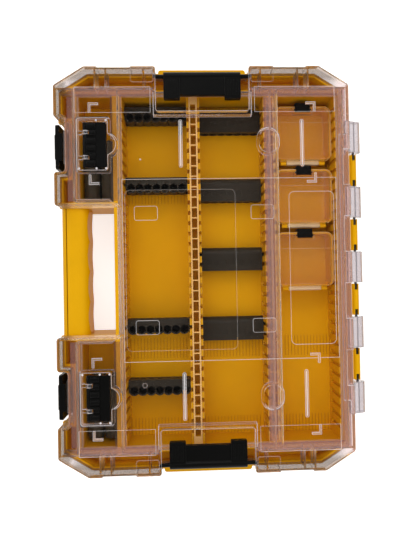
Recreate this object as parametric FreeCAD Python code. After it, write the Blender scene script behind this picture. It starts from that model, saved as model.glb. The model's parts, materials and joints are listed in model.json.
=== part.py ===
"""Bit case: a flat carrying case with a clear hinged lid, bit bars and small bit boxes.

The case lies on its back, +Z up. +X runs from the handle to the hinge and +Y along the case.
The drawing axes have X = 0 in the middle of the lid; pieces are moved to the middle of the
whole case when they are written.
"""
import FreeCAD
import Part
import math
import os

# Case shell
CASE_LENGTH = 325.0
CASE_WIDTH = 236.0
BASE_HEIGHT = 47.0
LID_HEIGHT = 19.0
CORNER_ALONG_X = 24.0
CORNER_ALONG_Y = 15.0
WALL = 2.4
FLOOR = 3.0
BODY_INSET = 1.2
RIM_DEPTH = 6.0
END_ZONE = 16.5
LEFT_ZONE = 14.0
RIGHT_WALL = 4.2
CHANNEL_DEPTH = 17.0
CHANNEL_RIB_IN = 32.0
END_LIP_HALF = 36.0
END_LIP_REACH = 2.8
CAVITY_RADIUS = 2.0

# Handle
HANDLE_WIDTH = 22.5
HANDLE_THICKNESS = 30.0
HANDLE_DROP = 2.0
HANDLE_ROUND = 8.0
HAND_GAP = 21.5
HAND_FROM_END = 110.5
HAND_SIDE_WALL = 3.0
HAND_BACK_WALL = 5.0
FINGER_COUNT = 4
FINGER_DEPTH = 1.2
FINGER_END_ROOM = 2.0
GRIP_LINE_IN = 4.6
GRIP_LINE_WIDTH = 0.8

# Columns, toothed rails and partitions
LAST_COLUMN_LESS = 4.0
CORE_WIDTH = 7.0
PARTITION_DROP = 6.0
TOOTH_DEPTH = 2.0
TOOTH_END_ROOM = 6.8
TOOTH_SLOT = 3.4
TOOTH_HALF_COUNT = 16
TOOTH_DROP = 8.0
CELL_WIDTH = 4.4
CELL_RUNG = 1.0
CELL_FLOOR = 5.0

# Lid
LID_WALL = 2.4
LID_EDGE_ROUND = 1.6
LID_CORNER_ROUND = 2.6
LIP_WALL = 1.6
LIP_DROP = 3.8
LIP_CLEARANCE = 0.6
PANEL_DEPTH = 0.5
RIDGE_HEIGHT = 1.2
RIDGE_WIDTH = 3.0
RIDGE_BEHIND = 19.5
RIDGE_LENGTH = 38.0
RIDGE_LEFT_X = -18.0
RIDGE_RIGHT_IN = 39.0
MARK_IN = 27.6
MARK_SPREAD = 32.5
MARK_LEG = 8.0
MARK_WIDTH = 2.0
PAD_X = 46.3
PAD_IN = 26.8
PAD_LENGTH = 18.6
PAD_WIDTH = 11.4
BAND_OUT = 25.0
BAND_BEHIND = 28.5
PANEL_END_ROOM = 8.5
PANEL_RIGHT_X = 24.5
SIDE_PANEL_IN = 50.0
SIDE_PANEL_END_ROOM = 11.0
DIMPLE_OFFSET = -4.3
DIMPLE_AHEAD = 2.0
DIMPLE_WIDTH = 15.0
DIMPLE_LENGTH = 19.0
DIMPLE_DEPTH = 6.0
EDGE_RECESS = 1.3
EDGE_RECESS_START = 36.8
EDGE_RECESS_END = 10.5
GUSSET_IN = (48.0, 18.0, 9.5)
GUSSET_WALL = 1.4
STACK_GROOVE_ROOM = 0.6
STACK_GROOVE_DEPTH = 1.6

# Main hinge
HINGE_OFFSET = 7.4
BASE_KNUCKLE_RADIUS = 2.5
LID_KNUCKLE_RADIUS = 5.8
LID_ARM_RISE = 11.4
BASE_ARM_DROP = 12.0
KNUCKLE_END_IN = 54.9
LID_KNUCKLE_LENGTH = 25.5
KNUCKLE_GAP = 2.4
KNUCKLE_SLOT_LENGTH = 4.8
KNUCKLE_SLOT_WIDTH = 2.6
LID_KNUCKLE_COUNT = 5
HINGE_PIN_RADIUS = 1.1
HINGE_BLOCK_IN = 8.0
HINGE_STEP = 4.0

# Front latches
LATCH_FROM_END = 62.0
LATCH_WIDTH = 36.0
LATCH_PLATE = 3.2
LATCH_PROUD = 0.6
LATCH_GRIP_PROUD = 0.8
LATCH_GRIP_WIDTH = 20.0
LATCH_PIVOT_IN = 3.5
LATCH_PIVOT_Z = 24.0
LATCH_BARREL_RADIUS = 3.2
LATCH_PIN_RADIUS = 1.5
LATCH_PIN_HOLD = 3.0
LATCH_RECESS_DEPTH = 7.5
LATCH_RECESS_DROP = 8.0
LATCH_SIDE_ROOM = 3.5
LATCH_NOSE = 2.2
LATCH_NOSE_HEIGHT = 3.0
LATCH_HOUSING_WALL = 4.0
LID_LATCH_NOTCH = 8.5
CATCH_REACH = 3.4
CATCH_HEIGHT = 2.5
CATCH_LIFT = 4.0
CATCH_WIDTH = 26.0

# Ribbed lid tabs
TAB_WIDTH = 36.0
TAB_REACH = 16.5
TAB_PLATE = 4.0
TAB_PIVOT_IN = 24.5
TAB_PIVOT_DROP = 4.6
TAB_BARREL_RADIUS = 2.3
TAB_PIN_RADIUS = 1.2
TAB_RIB_COUNT = 6
TAB_RIB_WIDTH = 4.2
TAB_RIB_RISE = 1.7
TAB_RIB_REACH = 8.0
TAB_LUG_SPREAD = 20.0
TAB_LUG_WIDTH = 3.0
TAB_LUG_RADIUS = 2.9
TAB_POCKET_DEPTH = 8.2
TAB_POCKET_LEFT_ROOM = 6.0
TAB_POCKET_RIGHT_ROOM = 1.3
TAB_POCKET_SIDE_ROOM = 2.5
TAB_FINGER_RADIUS = 8.6
TAB_FINGER_IN = 2.3

# End clips
CLIP_WIDTH = 62.0
CLIP_BLOCK_WIDTH = 13.0
CLIP_REACH = 18.6
CLIP_CENTRE_REACH = 15.4
CLIP_THICKNESS = 6.4
CLIP_CENTRE_RECESS = 1.2
CLIP_PIVOT_IN = 7.0
CLIP_PIVOT_DROP = 5.6
CLIP_BARREL_RADIUS = 3.4
CLIP_TRUNNION_RADIUS = 1.6
CLIP_TRUNNION_HOLD = 1.6
CLIP_POCKET_HALF = 37.3
CLIP_POCKET_REACH = 36.0
CLIP_POCKET_DEPTH = 10.0
CLIP_NOTCH = 4.2

# Bit bars
BAR_SOCKET_PITCH = 7.3
BAR_HEX = 6.5
BAR_LOBE_RADIUS = 4.6
BAR_FRONT = 7.0
BAR_BACK = 6.5
BAR_RISE = 14.0
BAR_SOCKET_DEPTH = 12.0
BAR_PIN_RADIUS = 1.6
BAR_DIMPLE_RADIUS = 2.4
BAR_DIMPLE_DEPTH = 0.5
BAR_FLOOR_ROOM = 0.5
UPRIGHT_BAR_SLOTS = (15, 8, -6, -12)
FLAT_BAR_SLOTS = (15, 8, 1, -6)
SPARE_UPPER_IN = 60.0
SPARE_LOWER_IN = 30.0
SPARE_COUNT = 2

# Small bit boxes
BOX_COUNT = 3
BOX_LENGTH = 47.0
BOX_GAP = 7.4
BOX_END_ROOM = 6.1
BOX_BODY_HEIGHT = 21.0
BOX_LID_HEIGHT = 5.5
BOX_WALL = 1.6
BOX_CORNER = 6.0
BOX_BACK_ROUND = 3.5
BOX_STEP = 0.6
BOX_STEP_FROM_FRONT = 14.0
BOX_KNUCKLE_RADIUS = 1.5
BOX_HINGE_ROOM = 0.4
BOX_ARM = 1.1
BOX_PIN_RADIUS = 0.7
BOX_LID_KNUCKLE = 28.0
BOX_END_KNUCKLE = 5.0
BOX_LATCH_WIDTH = 13.0
BOX_LATCH_REACH = 4.9
BOX_LATCH_LEG = 1.3
BOX_LATCH_GAP = 1.7
BOX_LATCH_DROP = 11.0
BOX_LATCH_BARB = 0.6
BOX_LATCH_BARB_HEIGHT = 1.6
BOX_LATCH_PIVOT_IN = 2.6
BOX_LATCH_PIVOT_DROP = 1.7
BOX_LATCH_BARREL = 1.5
BOX_LATCH_TRUNNION = 0.9
BOX_LATCH_TRUNNION_HOLD = 1.0
BOX_NOTCH_DEPTH = 3.6
BOX_LEDGE = 0.8
BOX_LEDGE_HEIGHT = 1.6

# Fits
RUNNING_CLEARANCE = 0.05
PIECE_CLEARANCE = 0.3
SIDE_CLEARANCE = 0.4
CUT = 1.0
TOLERANCE = 1e-5
ROUND_SHARE = 0.95

# Places that follow from the sizes above
HALF_L = CASE_LENGTH / 2
HALF_W = CASE_WIDTH / 2
CASE_TOP = BASE_HEIGHT + LID_HEIGHT
LID_UNDER = CASE_TOP - LID_WALL
COLUMN_END = HALF_L - END_ZONE
RIGHT_IN = HALF_W - RIGHT_WALL
LEFT_IN = -HALF_W + LEFT_ZONE
HANDLE_IN = -HALF_W + HANDLE_WIDTH
HAND_RIGHT = HANDLE_IN + HAND_GAP
HAND_HALF = HALF_L - HAND_FROM_END
FINGER_PITCH = 2 * (HAND_HALF - FINGER_END_ROOM) / FINGER_COUNT
COLUMN_1 = HAND_RIGHT + HAND_BACK_WALL
COLUMN_WIDTH = (RIGHT_IN - COLUMN_1 - 2 * CORE_WIDTH + LAST_COLUMN_LESS) / 3
PARTITION_LEFT = COLUMN_1 + COLUMN_WIDTH
COLUMN_2 = PARTITION_LEFT + CORE_WIDTH
PARTITION_RIGHT = COLUMN_2 + COLUMN_WIDTH
COLUMN_3 = PARTITION_RIGHT + CORE_WIDTH
COMPARTMENT_Y = HAND_HALF + HAND_SIDE_WALL
DECK = BASE_HEIGHT - CHANNEL_DEPTH
PARTITION_TOP = BASE_HEIGHT - PARTITION_DROP
TOOTH_TOP = BASE_HEIGHT - TOOTH_DROP
TOOTH_PITCH = (COLUMN_END - TOOTH_END_ROOM) / TOOTH_HALF_COUNT
CHANNEL_RIB_X = HALF_W - CHANNEL_RIB_IN
HINGE_X = HALF_W + HINGE_OFFSET
KNUCKLE_PITCH = (CASE_LENGTH - 2 * KNUCKLE_END_IN) / (LID_KNUCKLE_COUNT - 1)
BASE_KNUCKLE_LENGTH = KNUCKLE_PITCH - LID_KNUCKLE_LENGTH - KNUCKLE_GAP
LATCH_Y = HALF_L - LATCH_FROM_END
LATCH_PIVOT_X = -HALF_W + LATCH_PIVOT_IN
LATCH_FACE_X = -HALF_W - LATCH_PROUD
LATCH_RECESS_HALF = LATCH_WIDTH / 2 + LATCH_SIDE_ROOM
LID_NOTCH_X = -HALF_W + LID_LATCH_NOTCH
CATCH_Z = BASE_HEIGHT + CATCH_LIFT
RIDGE_FROM_Y = LATCH_Y - RIDGE_BEHIND
RIDGE_RIGHT_X = HALF_W - RIDGE_RIGHT_IN
MARK_X = HALF_W - MARK_IN
MARK_OUTER_Y = LATCH_Y + MARK_SPREAD
MARK_INNER_Y = LATCH_Y - MARK_SPREAD
BAND_OUTER_Y = LATCH_Y + BAND_OUT
BAND_INNER_Y = LATCH_Y - BAND_BEHIND
PAD_Y = BAND_INNER_Y - PAD_IN
PANEL_HALF_Y = BAND_INNER_Y - PANEL_END_ROOM
SIDE_PANEL_LEFT_X = HALF_W - SIDE_PANEL_IN
SIDE_PANEL_HALF_Y = BAND_INNER_Y - SIDE_PANEL_END_ROOM
DIMPLE_X = PARTITION_RIGHT + CORE_WIDTH / 2 + DIMPLE_OFFSET
DIMPLE_Y = LATCH_Y + DIMPLE_AHEAD
CHAMFER_X = HALF_W - CORNER_ALONG_X
TAB_PIVOT_X = -HALF_W + TAB_PIVOT_IN
TAB_PIVOT_Z = CASE_TOP - TAB_PIVOT_DROP
CLIP_PIVOT_Y = HALF_L - CLIP_PIVOT_IN
CLIP_PIVOT_Z = CASE_TOP - CLIP_PIVOT_DROP
CLIP_FLOOR = CASE_TOP - CLIP_POCKET_DEPTH
BAR_LENGTH = COLUMN_WIDTH - 2 * TOOTH_DEPTH - 2 * PIECE_CLEARANCE
BAR_SOCKETS = int(BAR_LENGTH / BAR_SOCKET_PITCH)
BAR_PIN = TOOTH_DEPTH - PIECE_CLEARANCE
BAR_PIVOT_Z = FLOOR + BAR_FRONT + BAR_FLOOR_ROOM
BAR_WIDTH = BAR_FRONT + BAR_BACK
SPARE_ROOM = (HAND_RIGHT - LEFT_IN - SPARE_COUNT * BAR_WIDTH) / (SPARE_COUNT + 1)
BOX_LEFT = COLUMN_3 + TOOTH_DEPTH + PIECE_CLEARANCE
BOX_RIGHT = RIGHT_IN - TOOTH_DEPTH - PIECE_CLEARANCE
BOX_X = (BOX_LEFT + BOX_RIGHT) / 2
BOX_PITCH = BOX_LENGTH + BOX_GAP
BOX_FIRST_Y = COLUMN_END - BOX_END_ROOM - BOX_LENGTH / 2
BOX_PARTING = FLOOR + BOX_BODY_HEIGHT
BOX_TOP = BOX_PARTING + BOX_LID_HEIGHT
X_MIN = LATCH_FACE_X - LATCH_GRIP_PROUD
X_MAX = HINGE_X + LID_KNUCKLE_RADIUS
ORIGIN_X = (X_MIN + X_MAX) / 2


def vec(x, y, z):
    return FreeCAD.Vector(x, y, z)


def block(x0, x1, y0, y1, z0, z1):
    return Part.makeBox(x1 - x0, y1 - y0, z1 - z0, vec(x0, y0, z0))


def rod_x(x0, x1, y, z, radius):
    return Part.makeCylinder(radius, x1 - x0, vec(x0, y, z), vec(1, 0, 0))


def rod_y(x, y0, y1, z, radius):
    return Part.makeCylinder(radius, y1 - y0, vec(x, y0, z), vec(0, 1, 0))


def rod_z(x, y, z0, z1, radius):
    return Part.makeCylinder(radius, z1 - z0, vec(x, y, z0), vec(0, 0, 1))


def direction(a, b):
    length = math.hypot(b[0] - a[0], b[1] - a[1])
    return (b[0] - a[0]) / length, (b[1] - a[1]) / length


def inset(points, distance):
    """Move every side of a counter-clockwise outline of (x, y, radius) inwards."""
    moved = []
    for i, (x, y, radius) in enumerate(points):
        into = direction(points[i - 1], points[i])
        out = direction(points[i], points[(i + 1) % len(points)])
        left_in = (-into[1], into[0])
        left_out = (-out[1], out[0])
        share = distance / (1 + left_in[0] * left_out[0] + left_in[1] * left_out[1])
        turn = into[0] * out[1] - into[1] * out[0]
        new_radius = radius - distance if turn > 0 else radius + distance
        new_x = x + share * (left_in[0] + left_out[0])
        new_y = y + share * (left_in[1] + left_out[1])
        moved.append((new_x, new_y, max(new_radius, 0.0)))
    return moved


def rounded_wire(points, to_space):
    """A closed wire of lines and corner arcs through (a, b, radius) points."""
    edges = []
    starts = []
    ends = []
    middles = []
    for i, (a, b, radius) in enumerate(points):
        into = direction(points[i - 1], points[i])
        out = direction(points[i], points[(i + 1) % len(points)])
        cosine = into[0] * out[0] + into[1] * out[1]
        half = math.acos(max(-1.0, min(1.0, cosine))) / 2
        tangent = radius * math.tan(half)
        starts.append((a - into[0] * tangent, b - into[1] * tangent))
        ends.append((a + out[0] * tangent, b + out[1] * tangent))
        towards = (out[0] - into[0], out[1] - into[1])
        size = math.hypot(*towards)
        sag = radius / math.cos(half) - radius
        middles.append((a + towards[0] / size * sag, b + towards[1] / size * sag))
    for i, (a, b, radius) in enumerate(points):
        if radius > 0:
            arc = Part.Arc(to_space(*starts[i]), to_space(*middles[i]), to_space(*ends[i]))
            edges.append(arc.toShape())
        following = (i + 1) % len(points)
        gap = math.dist(ends[i], starts[following])
        if gap > TOLERANCE:
            line = Part.LineSegment(to_space(*ends[i]), to_space(*starts[following]))
            edges.append(line.toShape())
    return Part.Wire(edges)


def sharp(points):
    return [(a, b, 0.0) for a, b in points]


def prism_z(points, z0, z1):
    wire = rounded_wire(points, lambda a, b: vec(a, b, z0))
    return Part.Face(wire).extrude(vec(0, 0, z1 - z0))


def prism_y(points, y0, y1):
    wire = rounded_wire(points, lambda a, b: vec(a, y0, b))
    return Part.Face(wire).extrude(vec(0, y1 - y0, 0))


def prism_x(points, x0, x1):
    wire = rounded_wire(points, lambda a, b: vec(x0, a, b))
    return Part.Face(wire).extrude(vec(x1 - x0, 0, 0))


def rectangle(a0, a1, b0, b1, radius=0.0):
    return [(a0, b0, radius), (a1, b0, radius), (a1, b1, radius), (a0, b1, radius)]


def rounded_block(x0, x1, y0, y1, z0, z1, radius):
    return prism_z(rectangle(x0, x1, y0, y1, radius), z0, z1)


def rounded_block_x(x0, x1, y0, y1, z0, z1, radius):
    return prism_x(rectangle(y0, y1, z0, z1, radius), x0, x1)


def flip_y(shape):
    return shape.mirror(vec(0, 0, 0), vec(0, 1, 0))


def both_ends(shape):
    return [shape, flip_y(shape)]


def flip_x(shape):
    return shape.mirror(vec(0, 0, 0), vec(1, 0, 0))


def four_ways(shape):
    return both_ends(shape) + both_ends(flip_x(shape))


def joined(shapes):
    return shapes[0].multiFuse(shapes[1:]).removeSplitter()


def cut(shape, tools):
    return shape.cut(tools)


def case_outline(distance):
    """The chamfered rectangle of the case, moved inwards by a distance."""
    cx = CORNER_ALONG_X
    cy = CORNER_ALONG_Y
    corners = [
        (HALF_W, -HALF_L + cy), (HALF_W, HALF_L - cy),
        (HALF_W - cx, HALF_L), (-HALF_W + cx, HALF_L),
        (-HALF_W, HALF_L - cy), (-HALF_W, -HALF_L + cy),
        (-HALF_W + cx, -HALF_L), (HALF_W - cx, -HALF_L),
    ]
    return inset([(x, y, LID_CORNER_ROUND) for x, y in corners], distance)


def slot_y(index):
    """The place along Y of a numbered slot between the teeth."""
    return (index + 0.5) * TOOTH_PITCH


def tooth_slots(x0, x1):
    """Cutters for the open slots that hold the bars' pins."""
    low = BAR_PIVOT_Z - BAR_PIN_RADIUS - RUNNING_CLEARANCE
    high = TOOTH_TOP + CUT
    half = TOOTH_SLOT / 2
    slots = []
    for index in range(-TOOTH_HALF_COUNT, TOOTH_HALF_COUNT):
        y = slot_y(index)
        slots.append(block(x0, x1, y - half, y + half, low, high))
    return slots


def toothed_face(x0, x1):
    """A strip of teeth along a wall, between x0 and x1."""
    strip = block(x0, x1, -COLUMN_END, COLUMN_END, FLOOR, TOOTH_TOP)
    return cut(strip, tooth_slots(x0 - CUT, x1 + CUT))


def handle():
    top = BASE_HEIGHT - HANDLE_DROP
    profile = rectangle(-HALF_W, HANDLE_IN, top - HANDLE_THICKNESS, top, HANDLE_ROUND)
    bar = prism_y(profile, -COMPARTMENT_Y, COMPARTMENT_Y)
    scallop = (FINGER_PITCH ** 2 / 4 + FINGER_DEPTH ** 2) / (2 * FINGER_DEPTH)
    tools = []
    for index in range(FINGER_COUNT):
        y = (index - (FINGER_COUNT - 1) / 2) * FINGER_PITCH
        x = HANDLE_IN - FINGER_DEPTH + scallop
        tools.append(rod_z(x, y, 0, BASE_HEIGHT, scallop))
    line_x = -HALF_W + GRIP_LINE_IN
    half = GRIP_LINE_WIDTH / 2
    groove = HANDLE_ROUND / 2
    line = block(line_x - half, line_x + half, -HAND_HALF, HAND_HALF, top - groove, top + CUT)
    return cut(bar, tools + [line])


def channel(z0, z1):
    """The open space between the outer wall and the inner walls of the tray."""
    space = prism_z(case_outline(BODY_INSET + WALL), z0, z1)
    inner_end = COLUMN_END + WALL
    tools = [block(LEFT_IN - WALL, HALF_W + CUT, -inner_end, inner_end, z0 - CUT, z1 + CUT)]
    tools.append(block(-HALF_W, LEFT_IN, -COMPARTMENT_Y, COMPARTMENT_Y, z0 - CUT, z1 + CUT))
    housing = LATCH_RECESS_HALF + LATCH_HOUSING_WALL
    tools += both_ends(block(-HALF_W, LEFT_IN, LATCH_Y - housing, LATCH_Y + housing, z0 - CUT, z1 + CUT))
    half = WALL / 2
    for x in (-CHANNEL_RIB_X, CHANNEL_RIB_X):
        tools += both_ends(block(x - half, x + half, COLUMN_END, HALF_L, z0 - CUT, z1 + CUT))
    return cut(space, tools)


def stack_grooves():
    """Shallow grooves underneath that take the ridges of a case below."""
    room = STACK_GROOVE_ROOM
    half = RIDGE_WIDTH / 2 + room
    tools = []
    for x in (RIDGE_LEFT_X, RIDGE_RIGHT_X):
        y0 = RIDGE_FROM_Y - room
        y1 = RIDGE_FROM_Y + RIDGE_LENGTH + room
        tools += both_ends(block(x - half, x + half, y0, y1, -CUT, STACK_GROOVE_DEPTH))
    for y in (MARK_OUTER_Y, MARK_INNER_Y):
        x0 = MARK_X - MARK_LEG - room
        x1 = MARK_X + room
        side = MARK_LEG if y == MARK_INNER_Y else -MARK_LEG
        y0 = min(y, y + side) - room
        y1 = max(y, y + side) + room
        tools += four_ways(block(x0, x1, y0, y1, -CUT, STACK_GROOVE_DEPTH))
    return tools


def base_knuckles():
    """Yellow knuckles with their arms, between the lid's knuckles, open on top at both ends."""
    shapes = []
    half = BASE_KNUCKLE_LENGTH / 2
    x0 = HINGE_X - KNUCKLE_SLOT_WIDTH / 2
    x1 = HINGE_X + KNUCKLE_SLOT_WIDTH / 2
    arm = sharp([
        (HALF_W - RIGHT_WALL / 2, BASE_HEIGHT - BASE_ARM_DROP),
        (HINGE_X, BASE_HEIGHT - BASE_KNUCKLE_RADIUS),
        (HINGE_X, BASE_HEIGHT - PIECE_CLEARANCE),
        (HALF_W - RIGHT_WALL / 2, BASE_HEIGHT - PIECE_CLEARANCE),
    ])
    for index in range(LID_KNUCKLE_COUNT - 1):
        y = (index - (LID_KNUCKLE_COUNT - 2) / 2) * KNUCKLE_PITCH
        knuckle = rod_y(HINGE_X, y - half, y + half, BASE_HEIGHT, BASE_KNUCKLE_RADIUS)
        slots = []
        for y0 in (y - half - CUT, y + half - KNUCKLE_SLOT_LENGTH):
            slots.append(block(x0, x1, y0, y0 + KNUCKLE_SLOT_LENGTH + CUT, BASE_HEIGHT,
                               BASE_HEIGHT + BASE_KNUCKLE_RADIUS + CUT))
        shapes.append(prism_y(arm, y - half, y + half))
        shapes.append(cut(knuckle, slots))
    return shapes


def hinge_bore():
    reach = LID_KNUCKLE_COUNT * KNUCKLE_PITCH / 2
    return rod_y(HINGE_X, -reach, reach, BASE_HEIGHT, HINGE_PIN_RADIUS + RUNNING_CLEARANCE)


def latch_tools():
    """The latch's recess in the tray's left wall, and the bore for its pin."""
    half = LATCH_RECESS_HALF
    low = LATCH_PIVOT_Z - LATCH_RECESS_DROP
    x0 = -HALF_W - CUT
    x1 = -HALF_W + LATCH_RECESS_DEPTH
    recess = block(x0, x1, LATCH_Y - half, LATCH_Y + half, low, BASE_HEIGHT + CUT)
    reach = half + LATCH_PIN_HOLD
    radius = LATCH_PIN_RADIUS + RUNNING_CLEARANCE
    bore = rod_y(LATCH_PIVOT_X, LATCH_Y - reach, LATCH_Y + reach, LATCH_PIVOT_Z, radius)
    return both_ends(recess) + both_ends(bore)


def base_tray():
    high = BASE_HEIGHT + CUT
    body = prism_z(case_outline(BODY_INSET), 0, BASE_HEIGHT)
    rim = prism_z(case_outline(0), BASE_HEIGHT - RIM_DEPTH, BASE_HEIGHT)
    lip = rounded_block(-END_LIP_HALF, END_LIP_HALF, COLUMN_END + WALL, HALF_L + END_LIP_REACH,
                        BASE_HEIGHT - RIM_DEPTH, BASE_HEIGHT, CAVITY_RADIUS)
    tray = joined([body, rim] + both_ends(lip))
    columns = rounded_block(COLUMN_1, RIGHT_IN, -COLUMN_END, COLUMN_END, FLOOR, high, CAVITY_RADIUS)
    side = rounded_block(LEFT_IN, HAND_RIGHT, COMPARTMENT_Y, COLUMN_END, FLOOR, high, CAVITY_RADIUS)
    hand = block(-HALF_W - CUT, HAND_RIGHT, -HAND_HALF, HAND_HALF, -CUT, high)
    tools = [columns, hand] + both_ends(side) + latch_tools() + stack_grooves()
    tools += [channel(DECK, high), channel(-CUT, DECK - WALL)]
    tray = cut(tray, tools)
    teeth = [toothed_face(COLUMN_1, COLUMN_1 + TOOTH_DEPTH), toothed_face(RIGHT_IN - TOOTH_DEPTH, RIGHT_IN)]
    tray = joined([tray, handle()] + teeth + base_knuckles())
    return cut(tray, [hinge_bore()])


def partition(x0):
    """A ladder rail between two columns, with teeth on both sides."""
    x1 = x0 + CORE_WIDTH
    core = block(x0, x1, -COLUMN_END, COLUMN_END, FLOOR, PARTITION_TOP)
    middle = (x0 + x1) / 2
    cells = []
    half = (TOOTH_PITCH - CELL_RUNG) / 2
    for index in range(-TOOTH_HALF_COUNT, TOOTH_HALF_COUNT):
        y = slot_y(index)
        x_low = middle - CELL_WIDTH / 2
        x_high = middle + CELL_WIDTH / 2
        cells.append(block(x_low, x_high, y - half, y + half, FLOOR + CELL_FLOOR, PARTITION_TOP + CUT))
    core = cut(core, cells)
    return joined([core, toothed_face(x0 - TOOTH_DEPTH, x0), toothed_face(x1, x1 + TOOTH_DEPTH)])


def lid_outline():
    """The lid seen from above: chamfered corners, notches for handle, latches and end clips."""
    radius = LID_CORNER_ROUND
    clip_y = HALF_L - CLIP_NOTCH
    low = LATCH_Y - LATCH_RECESS_HALF
    high = LATCH_Y + LATCH_RECESS_HALF
    upper = [
        (HALF_W, HALF_L - CORNER_ALONG_Y), (HALF_W - CORNER_ALONG_X, HALF_L),
        (CLIP_POCKET_HALF, HALF_L), (CLIP_POCKET_HALF, clip_y),
        (-CLIP_POCKET_HALF, clip_y), (-CLIP_POCKET_HALF, HALF_L),
        (-HALF_W + CORNER_ALONG_X, HALF_L), (-HALF_W, HALF_L - CORNER_ALONG_Y),
        (-HALF_W, high), (LID_NOTCH_X, high), (LID_NOTCH_X, low), (-HALF_W, low),
        (-HALF_W, HAND_HALF), (COLUMN_1, HAND_HALF),
    ]
    lower = [(x, -y) for x, y in reversed(upper)]
    small = CLIP_NOTCH / 2 * ROUND_SHARE
    outline = []
    for x, y in upper + lower:
        near_clip = abs(x) == CLIP_POCKET_HALF
        outline.append((x, y, small if near_clip else radius))
    return outline


def lid_shell():
    outer = prism_z(lid_outline(), BASE_HEIGHT, CASE_TOP)
    top_edges = [edge for edge in outer.Edges if edge.BoundBox.ZMin > CASE_TOP - TOLERANCE]
    outer = outer.makeFillet(LID_EDGE_ROUND, top_edges)
    inner = prism_z(inset(lid_outline(), LID_WALL), BASE_HEIGHT - CUT, LID_UNDER)
    return cut(outer, [inner])


def lid_lips():
    """Walls under the lid's top that stand just inside the tray's compartments."""
    low = BASE_HEIGHT - LIP_DROP
    end = COLUMN_END - LIP_CLEARANCE
    right = RIGHT_IN - LIP_CLEARANCE
    left = LEFT_IN + LIP_CLEARANCE
    back = COLUMN_1 + LIP_CLEARANCE
    side = HAND_RIGHT - LIP_CLEARANCE
    near = COMPARTMENT_Y + LIP_CLEARANCE
    wall = LIP_WALL
    over = BASE_HEIGHT + PIECE_CLEARANCE
    shapes = both_ends(block(back, right, end - wall, end, low, LID_UNDER))
    shapes.append(block(right - wall, right, -end, end, low, LID_UNDER))
    shapes.append(block(back, back + wall, -end, end, low, LID_UNDER))
    shapes += both_ends(block(left, left + wall, near, end, low, LID_UNDER))
    shapes += both_ends(block(left, side, end - wall, end, low, LID_UNDER))
    shapes += both_ends(block(left, side, near, near + wall, low, LID_UNDER))
    shapes += both_ends(block(-HALF_W + wall, HALF_W - wall, end - wall, end, over, LID_UNDER))
    rail = PARTITION_RIGHT + CORE_WIDTH / 2
    half = CORE_WIDTH / 2
    shapes.append(block(rail - half, rail - half + wall, -end, end, low, LID_UNDER))
    shapes.append(block(rail + half - wall, rail + half, -end, end, low, LID_UNDER))
    for gusset_in in GUSSET_IN:
        x = CHAMFER_X - gusset_in
        shapes += four_ways(block(x, x + GUSSET_WALL, end, HALF_L - LID_WALL, over, LID_UNDER))
    return shapes


def clip_pocket_body():
    wall = LID_WALL
    half = CLIP_POCKET_HALF + wall
    y0 = HALF_L - CLIP_POCKET_REACH - wall
    return both_ends(block(-half, half, y0, HALF_L - CLIP_NOTCH - wall, CLIP_FLOOR - wall, LID_UNDER))


def clip_pocket_tools():
    y0 = HALF_L - CLIP_POCKET_REACH
    pocket = rounded_block(-CLIP_POCKET_HALF, CLIP_POCKET_HALF, y0, HALF_L + CLIP_POCKET_REACH,
                           CLIP_FLOOR, CASE_TOP + CUT, CAVITY_RADIUS)
    reach = CLIP_POCKET_HALF + CLIP_TRUNNION_HOLD + PIECE_CLEARANCE
    radius = CLIP_TRUNNION_RADIUS + RUNNING_CLEARANCE
    bore = rod_x(-reach, reach, CLIP_PIVOT_Y, CLIP_PIVOT_Z, radius)
    return both_ends(pocket) + both_ends(bore)


def tab_pocket_plan(grow):
    """Left, right and half width of a tab's recess, and its finger notch, grown by a wall."""
    left = TAB_PIVOT_X - TAB_POCKET_LEFT_ROOM - grow
    right = TAB_PIVOT_X + TAB_REACH + TAB_POCKET_RIGHT_ROOM + grow
    half = TAB_WIDTH / 2 + TAB_POCKET_SIDE_ROOM + grow
    return left, right, half


def tab_pocket(grow, z0, z1):
    left, right, half = tab_pocket_plan(grow)
    recess = rounded_block(left, right, LATCH_Y - half, LATCH_Y + half, z0, z1, CAVITY_RADIUS)
    finger = rod_z(right - grow - TAB_FINGER_IN, LATCH_Y, z0, z1, TAB_FINGER_RADIUS + grow)
    return both_ends(recess.fuse(finger))


def tab_lugs():
    floor = CASE_TOP - TAB_POCKET_DEPTH
    half = TAB_LUG_WIDTH / 2
    shapes = []
    for side in (-1, 1):
        y = LATCH_Y + side * TAB_LUG_SPREAD / 2
        ear = rod_y(TAB_PIVOT_X, y - half, y + half, TAB_PIVOT_Z, TAB_LUG_RADIUS)
        left = TAB_PIVOT_X - TAB_POCKET_LEFT_ROOM - LIP_WALL
        foot = block(left, TAB_PIVOT_X, y - half, y + half, floor - LIP_WALL, TAB_PIVOT_Z)
        root = block(TAB_PIVOT_X - TAB_LUG_RADIUS, TAB_PIVOT_X + TAB_LUG_RADIUS, y - half, y + half,
                     floor - LIP_WALL, TAB_PIVOT_Z)
        shapes += both_ends(ear.multiFuse([foot, root]))
    return shapes


def tab_bore():
    reach = TAB_WIDTH / 2
    radius = TAB_PIN_RADIUS + RUNNING_CLEARANCE
    return both_ends(rod_y(TAB_PIVOT_X, LATCH_Y - reach, LATCH_Y + reach, TAB_PIVOT_Z, radius))


def dimple(grow, z0, z1):
    """The oval hollow over the right partition, grown by a wall."""
    half_x = DIMPLE_WIDTH / 2 + grow
    half_y = DIMPLE_LENGTH / 2 + grow
    return both_ends(rounded_block(DIMPLE_X - half_x, DIMPLE_X + half_x, DIMPLE_Y - half_y,
                                   DIMPLE_Y + half_y, z0, z1, half_x * ROUND_SHARE))


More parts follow.
